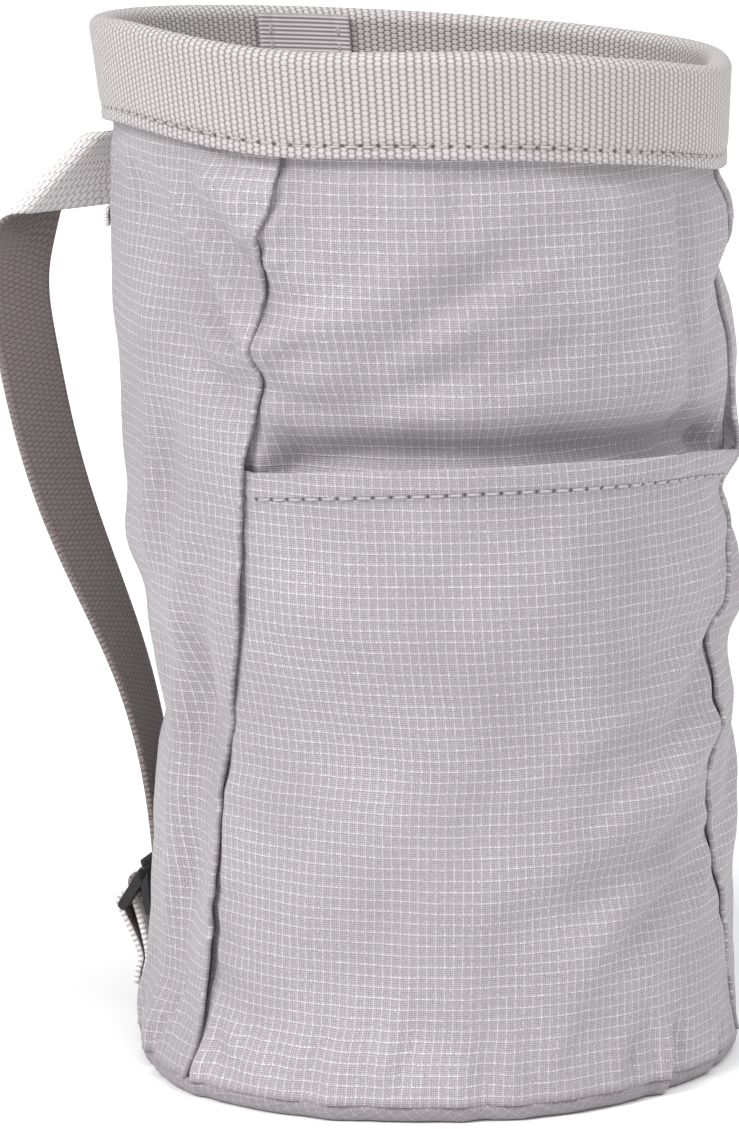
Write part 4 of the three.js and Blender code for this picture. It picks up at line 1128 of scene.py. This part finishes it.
class BuildPocket(bpy.types.Operator):
    """Adds the front pocket with its folded hem and the hem's stitches"""

    bl_idname = "chalk_bag.build_pocket"
    bl_label = "Front pocket"

    def execute(self, context):
        form, colours, view = settings()
        cloth = ripstop("coated_ripstop_nylon_stitched", colours.cloth, colours.grid, form, stitched=True)
        across = crowded(2 * view.detail + 1, 0.6)
        # Each row as (part, share of the part's height, share of the cloth's thickness inwards).
        rows = [("body", share, 0) for share in np.linspace(0, 1, int(1.6 * view.detail) + 1)[:-1]]
        steps = np.linspace(0, len(HEM) - 1, 3 * len(HEM))
        rise, inwards = (
            np.interp(steps, range(len(HEM)), [row[key] for row in HEM]) for key in ("rise", "inwards")
        )
        rows += [("hem", *row) for row in zip(rise, inwards)]
        places, uvs, marks = [], [], []
        for part, share, inwards in rows:

            def height(azimuth, part=part, share=share):
                mouth = form.share_at_height(azimuth, form.pocket_mouth(azimuth))
                hem = mouth - form.hem_height / (form.mouth_top(azimuth) - form.seam_height)
                low, high = (form.foot(azimuth), hem) if part == "body" else (hem, mouth)
                return mix(low, high, share)

            azimuth, at = form.in_panel(across, form.tucked_edges, height)
            place = form.on_wall(azimuth, at, inwards * form.cloth_thickness + form.under_seam(azimuth, at))
            uv = millimetres(azimuth, place, form)
            line = (form.pocket_mouth(azimuth) - HEM_LINE * form.hem_height) / MM
            marks.append(np.stack([uv[:, 0], uv[:, 1] - line], axis=-1))
            if inwards > 0:
                uv[:, 1] += 2 * (1 - share) * form.hem_height / MM
            places.append(place)
            uvs.append(uv)
        places, uvs, marks = (np.stack(each, axis=1) for each in (places, uvs, marks))
        piece = grid_piece("front_pocket", places, uvs, cloth, stitch=marks)
        thicken(piece, form.cloth_thickness * POCKET_SHEET)
        finish_piece(piece, "ripstop_cloth", "front_pocket")
        self.add_stitches(form, colours)
        return {"FINISHED"}

    def add_stitches(self, form, colours):
        across = np.linspace(0.012, 0.985, 200)  # from just inside one seam to just inside the other

        def height(azimuth):
            mouth = form.pocket_mouth(azimuth)
            return form.share_at_height(azimuth, mouth - HEM_LINE * form.hem_height)

        azimuth, at = form.in_panel(across, form.front_edges, height)
        places = form.on_wall(azimuth, at, form.under_seam(azimuth, at) - 0.3 * form.cloth_thickness)
        marks = np.radians(azimuth) * form.base_radius / MM
        line = (places, towards(azimuth), marks)
        stitches("hem_stitches", form, [line], twisted_thread(colours), "ripstop_cloth")


class BuildBase(bpy.types.Operator):
    """Adds the base, whose edge turns up to the seam"""

    bl_idname = "chalk_bag.build_base"
    bl_label = "Base"

    def execute(self, context):
        form, colours, view = settings()
        azimuth = np.linspace(-180, 180, 6 * view.detail + 1)
        edge = form.wall_radius(azimuth, 0.0)
        lip = form.seam_height + BASE_RISE + BASE_OVERLAP
        pucker = BASE_PUCKER["deep"] * np.sin(np.radians(azimuth) * form.base_radius / BASE_PUCKER["long"])
        rings = []
        for share in np.linspace(0.02, 1, 14)[:-1]:
            radius = (edge - form.foot_inset) * share
            rings.append((radius, np.zeros_like(radius)))
        for row in BASE_EDGE:
            radius = edge - row["inset"] * form.foot_inset + pucker * row["up"]
            rings.append((radius, np.full_like(radius, row["up"] * lip)))
        turn = math.radians(BASE_TURN)
        grain = np.array([[math.cos(turn), -math.sin(turn)], [math.sin(turn), math.cos(turn)]])
        places, uvs = [], []
        for radius, height in rings:
            place = form.middle(0.0) + radius[:, None] * towards(azimuth)
            place[:, 2] = height
            places.append(place)
            flat = place[:, :2] * (1 + height / radius)[:, None]
            uvs.append(flat @ grain / MM)
        places, uvs = np.stack(places, axis=1), np.stack(uvs, axis=1)
        cloth = ripstop("coated_ripstop_base", colours.base, colours.base_grid, form)
        piece = grid_piece("base_panel", places, uvs, cloth, closed=True)
        self.close_middle(piece)
        thicken(piece, form.base_thickness)
        finish_piece(piece, "base_cloth", "base_panel")
        return {"FINISHED"}

    def close_middle(self, piece):
        """Fills the small hole in the middle, whose edges are the only open ones on the floor."""
        mesh = bmesh.new()
        mesh.from_mesh(piece.data)
        ring = [e for e in mesh.edges if e.is_boundary and e.verts[0].co.z == 0]
        bmesh.ops.holes_fill(mesh, edges=ring)
        bmesh.ops.recalc_face_normals(mesh, faces=mesh.faces)
        mesh.to_mesh(piece.data)
        mesh.free()


class BuildRim(bpy.types.Operator):
    """Adds the folded webbing of the rim, its stitches and the tape over its joint"""

    bl_idname = "chalk_bag.build_rim"
    bl_label = "Rim"

    def execute(self, context):
        form, colours, view = settings()
        band = webbing(
            "woven_rim_webbing", colours.rim, colours.rim_gap, RIM_WEAVE, form.stitch_pitch / MM
        )
        azimuth = np.linspace(-180, 180, 8 * view.detail + 1)
        # The section as (inwards, down): up the outer leg, over the fold and down the inner leg.
        half = form.band_depth / 2
        outer = [(0, down) for down in np.linspace(form.band_height, half, 30)]
        turn = np.linspace(0, math.pi, 13)[1:-1]
        over = [(half * (1 - math.cos(t)), half * (1 - math.sin(t))) for t in turn]
        inner = [(form.band_depth, down) for down in np.linspace(half, form.inner_band_height, 24)]
        section = np.array(outer + over + inner)
        places, uvs, marks = [], [], []
        round_mm = np.radians(azimuth) * form.mouth_radius / MM
        wobble = RIM_WOBBLE * np.sin(round_mm / 7.3 + 2 * np.sin(round_mm / 31))
        for (inwards, down), run in zip(section, path_marks(section)):
            side = 1 if inwards < half else -1
            off = down - form.band_height + form.rim_stitch
            groove = RIM_GROOVE["deep"] * bell(off / RIM_GROOVE["wide"])
            loose = smooth(down, 0.5 * form.band_height, form.band_height)
            hang = RIM_HANG * np.sin(round_mm / 11 + 1) * loose
            places.append(form.on_rim(azimuth, inwards + side * (groove + wobble), down + hang))
            uvs.append(np.stack([round_mm, np.full_like(round_mm, run)], axis=-1))
            marks.append(np.stack([round_mm, np.full_like(round_mm, off / MM)], axis=-1))
        places, uvs, marks = (np.stack(each, axis=1) for each in (places, uvs, marks))
        piece = grid_piece("rim_band", places, uvs, band, closed=True, stitch=marks)
        thicken(piece, form.band_thickness * WEB_LAYER)
        finish_piece(piece, "rim_webbing", "rim_band")
        self.add_stitches(form, colours, azimuth)
        self.add_tape(form, colours)
        return {"FINISHED"}

    def add_stitches(self, form, colours, azimuth):
        down = form.band_height - form.rim_stitch
        outside = form.on_rim(azimuth, THREAD_SEAT, down)
        inside = form.on_rim(azimuth, form.band_depth - THREAD_SEAT, down)
        marks = np.radians(azimuth) * form.mouth_radius / MM
        lines = [(outside, towards(azimuth), marks), (inside, -towards(azimuth), marks)]
        stitches("rim_stitches", form, lines, twisted_thread(colours), "rim_webbing")

    def add_tape(self, form, colours):
        half = math.degrees(form.tape_width / 2 / (form.mouth_radius - form.band_depth))
        azimuth = form.tape_azimuth + np.linspace(-half, half, 41)[:, None]
        down = np.linspace(form.inner_band_height - TAPE_ENDS[0], TAPE_ENDS[1], 41)[None, :]
        azimuth, down = together(azimuth, down)
        top = form.band_depth + form.clearance + form.tape_thickness
        edge = form.tape_width / 2 - np.abs(np.radians(azimuth - form.tape_azimuth)) * form.mouth_radius
        bed = TAPE_BED["deep"] * bell((edge - TAPE_STITCH_INSET) / TAPE_BED["wide"])
        places = form.on_rim(azimuth, top - bed, down)
        uv = np.stack([np.radians(azimuth) * form.mouth_radius / MM, down / MM], axis=-1)
        piece = grid_piece("rim_join_tape", places, uv, grosgrain(colours))
        thicken(piece, form.tape_thickness, 1)
        finish_piece(piece, "grosgrain_tape", "rim_join_tape")
        lines = []
        drop = np.linspace(form.inner_band_height - 1.5 * MM, 1.8 * MM, 30)
        for side in (-1, 1):
            turn = form.tape_azimuth + side * (half - math.degrees(TAPE_STITCH_INSET / form.mouth_radius))
            place = form.on_rim(turn, top - 0.2 * MM, drop)
            lines.append((place, np.repeat(-towards(np.array([turn])), len(place), axis=0), None))
        stitches("tape_stitches", form, lines, twisted_thread(colours), "grosgrain_tape")


def smooth_path(points, places):
    """Places and directions on a centripetal Catmull-Rom curve through points.

    places run from 0 to the last point's number.
    """
    points = np.asarray(points, float)
    first = 2 * points[0] - points[1]
    last = 2 * points[-1] - points[-2]
    p = np.vstack([first, points, last])
    knots = np.concatenate([[0], np.cumsum(np.linalg.norm(np.diff(p, axis=0), axis=1) ** 0.5)])
    k = np.clip(np.floor(places).astype(int), 0, len(points) - 2)
    t0, t1, t2, t3 = (knots[k + i][:, None] for i in range(4))
    p0, p1, p2, p3 = (p[k + i] for i in range(4))

    def place(t):
        a1 = (t1 - t) / (t1 - t0) * p0 + (t - t0) / (t1 - t0) * p1
        a2 = (t2 - t) / (t2 - t1) * p1 + (t - t1) / (t2 - t1) * p2
        a3 = (t3 - t) / (t3 - t2) * p2 + (t - t2) / (t3 - t2) * p3
        b1 = (t2 - t) / (t2 - t0) * a1 + (t - t0) / (t2 - t0) * a2
        b2 = (t3 - t) / (t3 - t1) * a2 + (t - t1) / (t3 - t1) * a3
        return (t2 - t) / (t2 - t1) * b1 + (t - t1) / (t2 - t1) * b2

    t = t1 + (places - k)[:, None] * (t2 - t1)
    step = 1e-3 * (t2 - t1)
    heading = place(t + step) - place(t - step)
    return place(t), heading / np.linalg.norm(heading, axis=1, keepdims=True)


class Strap:
    """Path of the carry strap: sewn end, flat stretch, diagonal fold, hanging stretch and threaded end."""

    def __init__(self, form):
        self.form = form
        self.run = towards(form.strap_leave_azimuth + 90)
        self.face = towards(form.strap_leave_azimuth + 180)
        up = np.array([0, 0, 1.0])
        self.cos = math.cos(math.radians(form.fold_angle))
        self.sin = math.sin(math.radians(form.fold_angle))
        self.fold_run = self.run * self.cos - up * self.sin
        self.fold_across = self.run * self.sin + up * self.cos
        share = form.share_at_height(form.strap_leave_azimuth, form.strap_height)
        leave = form.on_wall(form.strap_leave_azimuth, share, -form.strap_seat, 0)
        leave[2] = form.strap_height
        self.fold_place = leave + self.run * form.strap_free_length
        self.roll_length = math.pi * form.fold_radius / self.sin
        self.turn_length = 1.25 * form.strap_width
        self.turned_length = self.roll_length + self.turn_length

    def seated(self, azimuth, across):
        form = self.form
        share = form.share_at_height(azimuth, form.strap_height)
        place = form.on_wall(azimuth, share, -form.strap_seat, 0)
        place[..., 2] = form.strap_height + across
        return place

    def folded(self, length, across):
        """Places on the flat stretch and its fold. length runs from the fold."""
        past = length * self.sin + across * self.cos
        beside = length * self.cos - across * self.sin
        radius = self.form.fold_radius
        turn = np.clip(past / radius, 0, math.pi)
        before = np.minimum(past, 0)
        after = np.maximum(past - math.pi * radius, 0)
        place = self.fold_place + beside[..., None] * self.fold_run
        place = place + (before - after + radius * np.sin(turn))[..., None] * self.fold_across
        return place + (radius * np.cos(turn) - radius)[..., None] * self.face

    def hanging_rows(self):
        form = self.form
        start_face = form.strap_leave_azimuth + 180
        lock_face = form.lock_azimuth + 180
        rows = []
        for short in (7 * MM, 0):  # two places on the fold give the curve its start and direction
            place = self.folded(np.array(self.turned_length - short), np.array(0.0))
            rows.append((place, start_face))
        for r in HANG:
            place = form.beside(
                form.lock_azimuth + r["turn"], r["at"] * form.mouth_height, r["out"] * form.strap_stand_off
            )
            rows.append((place, form.lock_azimuth + r["face"]))
        top = form.in_lock("top", 0, 0)[0]
        for rise in (3, 1):  # it lies on the wall just above the lock
            height = top + rise * form.thread_gap
            rows.append((form.beside(form.lock_azimuth, height, form.strap_seat), lock_face))
        rows += [(form.at_lock(r["bar"], r["down"], r["out"]), lock_face) for r in THREAD]
        for r in TAIL:
            height = form.lock_height - r["drop"] * form.lower_window
            out = form.strap_seat + r["out"] * form.thread_gap
            rows.append((form.beside(form.lock_azimuth, height, out), lock_face))
        return rows

    def surface(self, steps, columns):
        """Middle surface of the whole strap as a grid of places."""
        form = self.form
        across = np.linspace(-0.5, 0.5, columns + 1)[None, :] * form.strap_width
        azimuth = np.linspace(form.strap_end_azimuth, form.strap_leave_azimuth, steps // 6)[:-1, None]
        seated = self.seated(*together(azimuth, across))
        length = np.linspace(-form.strap_free_length, self.turned_length, steps // 2)[:-1, None]
        skew = smooth(length, -self.turn_length, 0)
        skew = skew * (1 - smooth(length, self.roll_length, self.turned_length))
        folded = self.folded(length - skew * across * self.cos / self.sin, across + 0 * length)
        rows = self.hanging_rows()
        t = np.linspace(1, len(rows) - 1, steps)
        middle, down = smooth_path([r[0] for r in rows], t)
        aim = towards(through(np.arange(len(rows)), [r[1] for r in rows], t))
        side = np.cross(aim, down)
        side /= np.linalg.norm(side, axis=1, keepdims=True)
        hanging = middle[:, None] + side[:, None] * across[..., None]
        whole = np.concatenate([seated, folded, hanging])
        return self.eased(whole, len(seated) + len(folded), steps)

    def eased(self, places, start, steps):
        """Rounds the bend where the strap comes out of its fold and begins to hang, by a moving mean."""
        reach = steps // 9
        window = bell(np.linspace(-2, 2, 2 * reach + 1))
        window /= window.sum()
        wide = np.pad(places, ((reach, reach), (0, 0), (0, 0)), mode="edge")
        soft = sum(w * wide[k : k + len(places)] for k, w in enumerate(window))
        station = np.arange(len(places))
        share = smooth(station, start - reach, start)
        share = share * (1 - smooth(station, start + 2.5 * reach, start + 5 * reach))
        return mix(places, soft, share[:, None, None])


def strap_piece(name, places, form, bands):
    """A webbing strip from the grid of its middle surface, with its uv along the yarns.

    bands: the materials of its two faces, one of them a copy of the webbing darkened as painted shade.
    """
    run = path_marks(places[:, places.shape[1] // 2])[:, None]
    across = np.linspace(0, form.strap_width, places.shape[1])[None, :] / MM
    piece = grid_piece(name, places, np.stack(together(across, run), axis=-1), bands[0])
    piece.data.materials.append(bands[1])
    thicken(piece, form.strap_thickness * WEB_LAYER, 0)
    piece.modifiers["thickness"].material_offset = 1
    return finish_piece(piece, "strap_webbing", name)


class BuildStrap(bpy.types.Operator):
    """Adds the carry strap, the anchor webbing, the side tab and their stitches"""

    bl_idname = "chalk_bag.build_strap"
    bl_label = "Carry strap"

    def execute(self, context):
        form, colours, view = settings()
        pale = webbing("woven_strap_webbing", colours.strap, colours.strap_gap, STRAP_WEAVE)
        # The darker copy of the webbing is painted shade: one face of the carry strap and of the anchor
        # wears it, and the other wears the pale yarn.
        painted_shade_band = webbing("woven_strap_webbing_back", colours.strap_back, colours.strap_back_gap, STRAP_WEAVE)
        strap_piece("carry_strap", Strap(form).surface(360, 16), form, (painted_shade_band, pale))
        self.add_anchor(form, (pale, painted_shade_band))
        self.add_tab(form, pale)
        self.add_stitches(form, colours)
        return {"FINISHED"}

    def add_anchor(self, form, bands):
        turns = 8
        upper = form.strap_thickness + form.clearance
        height, out = form.in_lock("lower", 0, 0)
        start = math.radians(form.lock_lean) + math.atan2(out - form.strap_seat, height - form.anchor_root)

        def sewn(share, away):
            where = form.anchor_root - share * form.anchor_sewn
            return form.beside(form.lock_azimuth, where, form.strap_seat + away)

        rows = [sewn(1, 0), sewn(0.5, 0), sewn(0, form.clearance)]
        for i in range(turns + 1):
            turn = start + math.pi * i / turns
            rows.append(form.at_lock("lower", -math.sin(turn), -math.cos(turn)))
        rows += [sewn(0, upper + form.clearance), sewn(0.5, upper), sewn(1, upper)]
        middle, _ = smooth_path(rows, np.linspace(0, len(rows) - 1, 120))
        across = np.linspace(-0.5, 0.5, 17)[None, :, None] * form.strap_width
        places = middle[:, None] + towards(form.lock_azimuth + 90) * across
        strap_piece("anchor_webbing", places, form, bands)

    def add_tab(self, form, band):
        half = math.degrees(form.tab_width / 2 / form.base_radius)
        azimuth = form.tab_azimuth + np.linspace(-half, half, 13)[:, None]
        azimuth, turn = together(azimuth, np.linspace(0, math.pi, 25)[None, :])
        rise = form.tab_above - form.tab_height * (0.5 + 0.5 * np.cos(turn))
        swell = form.clearance + form.tab_thickness * np.sin(turn) ** 0.6
        places = form.beside(azimuth, rise, swell)
        uv = np.stack([np.radians(azimuth) * form.base_radius / MM, 3 * turn], axis=-1)
        piece = grid_piece("side_tab", places, uv, band)
        thicken(piece, 0.9 * form.tab_thickness)
        finish_piece(piece, "strap_webbing", "side_tab")

    def add_stitches(self, form, colours):
        """Box stitches on the sewn ends of the strap and of the anchor."""
        lines = []
        half = BOX["half"] * form.strap_width
        out = form.strap_seat + BOX["out"] * form.strap_thickness
        reach = math.degrees(BOX["long"] / form.base_radius)
        start = form.strap_end_azimuth + math.degrees(BOX["start"] / form.base_radius)
        low, high = form.strap_height - half, form.strap_height + half
        corners = [(start, low), (start + reach, low), (start + reach, high), (start, high), (start, low)]
        corners += [(start + reach, high), (start, high), (start + reach, low)]
        lines.append(self.line(form, corners, out))
        low, high = form.anchor_root - 0.9 * form.anchor_sewn, form.anchor_root - 0.1 * form.anchor_sewn
        wide = math.degrees(half / form.base_radius)
        left, right = form.lock_azimuth - wide, form.lock_azimuth + wide
        out = out + form.strap_thickness + form.clearance
        corners = [(left, low), (right, low), (right, high), (left, high), (left, low)]
        lines.append(self.line(form, corners, out))
        stitches("strap_stitches", form, lines, twisted_thread(colours), "strap_webbing")

    def line(self, form, corners, out):
        marks = np.linspace(0, len(corners) - 1, 24 * len(corners))
        azimuth = np.interp(marks, range(len(corners)), [c[0] for c in corners])
        height = np.interp(marks, range(len(corners)), [c[1] for c in corners])
        return form.beside(azimuth, height, out), towards(azimuth), None


class BuildLock(bpy.types.Operator):
    """Adds the moulded ladder lock"""

    bl_idname = "chalk_bag.build_lock"
    bl_label = "Ladder lock"

    def execute(self, context):
        form, colours, view = settings()
        inner = form.strap_width + 2 * form.rail_gap
        outer = inner + 2 * form.rail_width
        top, middle, lower = (form.in_lock(bar, 0, 0) for bar in ("top", "middle", "lower"))
        foot = (top[0] - form.foot_length, form.clearance + form.bar_radius + LOCK_FOOT_GAP)
        lip = (top[0] + form.lip_length, top[1] + 0.4 * form.lip_length)  # the thumb edge leans out
        mesh = bmesh.new()
        for low in (-outer / 2, inner / 2):
            self.slab(mesh, top, lower, form.rail_radius, form.rail_radius, low, form.rail_width)
            self.slab(mesh, top, foot, form.rail_radius, form.bar_radius, low, form.rail_width)
        for bar in (top, middle, lower):
            self.slab(mesh, bar, bar, form.bar_radius, form.bar_radius, -inner / 2, inner)
        self.slab(mesh, top, lip, form.bar_radius, 0.8 * form.bar_radius, -inner / 2, inner)
        bmesh.ops.recalc_face_normals(mesh, faces=mesh.faces)
        data = bpy.data.meshes.new("ladder_lock_body")
        mesh.to_mesh(data)
        mesh.free()
        origin = form.beside(form.lock_azimuth, form.lock_height, 0.0)
        origin[2] = 0
        out = towards(form.lock_azimuth)
        across = towards(form.lock_azimuth + 90)
        basis = np.stack([out, [0, 0, 1], -across], axis=1)
        where = Matrix([[*basis[r], origin[r]] for r in range(3)] + [[0, 0, 0, 1]])
        data.transform(where)
        data.materials.append(moulded_plastic(colours))
        piece = bpy.data.objects.new("ladder_lock_body", data)
        context.scene.collection.objects.link(piece)
        finish_piece(piece, "moulded_plastic", "ladder_lock")
        return {"FINISHED"}

    def slab(self, mesh, start, end, start_radius, end_radius, low, depth):
        """A bar with round ends between two (height, out) places, with softened edges."""
        turn = math.atan2(end[0] - start[0], end[1] - start[1])
        ends = ((end, end_radius, turn - math.pi / 2), (start, start_radius, turn + math.pi / 2))
        outline = []
        for (height, out), radius, first in ends:
            for k in range(13):
                outline.append((out, height, radius, first + math.pi * k / 12))
        # Each ring of the slab as its distance from the low end and how far it draws in.
        soft = LOCK_SOFTNESS
        rings = [(0, soft), (0.3 * soft, 0.3 * soft), (soft, 0)]
        rings += [(depth - rise, inset) for rise, inset in reversed(rings)]
        levels = []
        for rise, inset in rings:
            level = []
            for x, y, radius, a in outline:
                reach = radius - inset
                level.append(mesh.verts.new((x + reach * math.cos(a), y + reach * math.sin(a), low + rise)))
            levels.append(level)
        count = len(outline)
        for below, above in zip(levels, levels[1:]):
            for k in range(count):
                n = (k + 1) % count
                mesh.faces.new((below[k], below[n], above[n], above[k])).smooth = True
        mesh.faces.new(list(reversed(levels[0])))
        mesh.faces.new(levels[-1])


class ChalkBagPanel(bpy.types.Panel):
    """Sizes, colours and build steps of the chalk bag"""

    bl_idname = "VIEW3D_PT_chalk_bag"
    bl_label = "Chalk Bag"
    bl_space_type = "VIEW_3D"
    bl_region_type = "UI"
    bl_category = "Chalk Bag"

    def draw(self, context):
        for operator in BUILDERS:
            self.layout.operator(operator.bl_idname)
        for group in (context.scene.bag_sizes, context.scene.bag_colours, context.scene.bag_view):
            box = self.layout.box()
            for name in group.__annotations__:
                box.prop(group, name)


BUILDERS = (BuildStage, BuildWall, BuildPocket, BuildBase, BuildRim, BuildStrap, BuildLock)
CLASSES = (BagSizes, BagColours, BagView, *BUILDERS, ChalkBagPanel)
GROUPS = {"bag_sizes": BagSizes, "bag_colours": BagColours, "bag_view": BagView}


def register():
    for each in CLASSES:
        bpy.utils.register_class(each)
    for name, group in GROUPS.items():
        setattr(bpy.types.Scene, name, PointerProperty(type=group))


def unregister():
    for name in GROUPS:
        delattr(bpy.types.Scene, name)
    for each in reversed(CLASSES):
        bpy.utils.unregister_class(each)


def main():
    register()
    for operator in BUILDERS:
        group, step = operator.bl_idname.split(".")
        getattr(getattr(bpy.ops, group), step)()


if __name__ == "__main__":
    main()
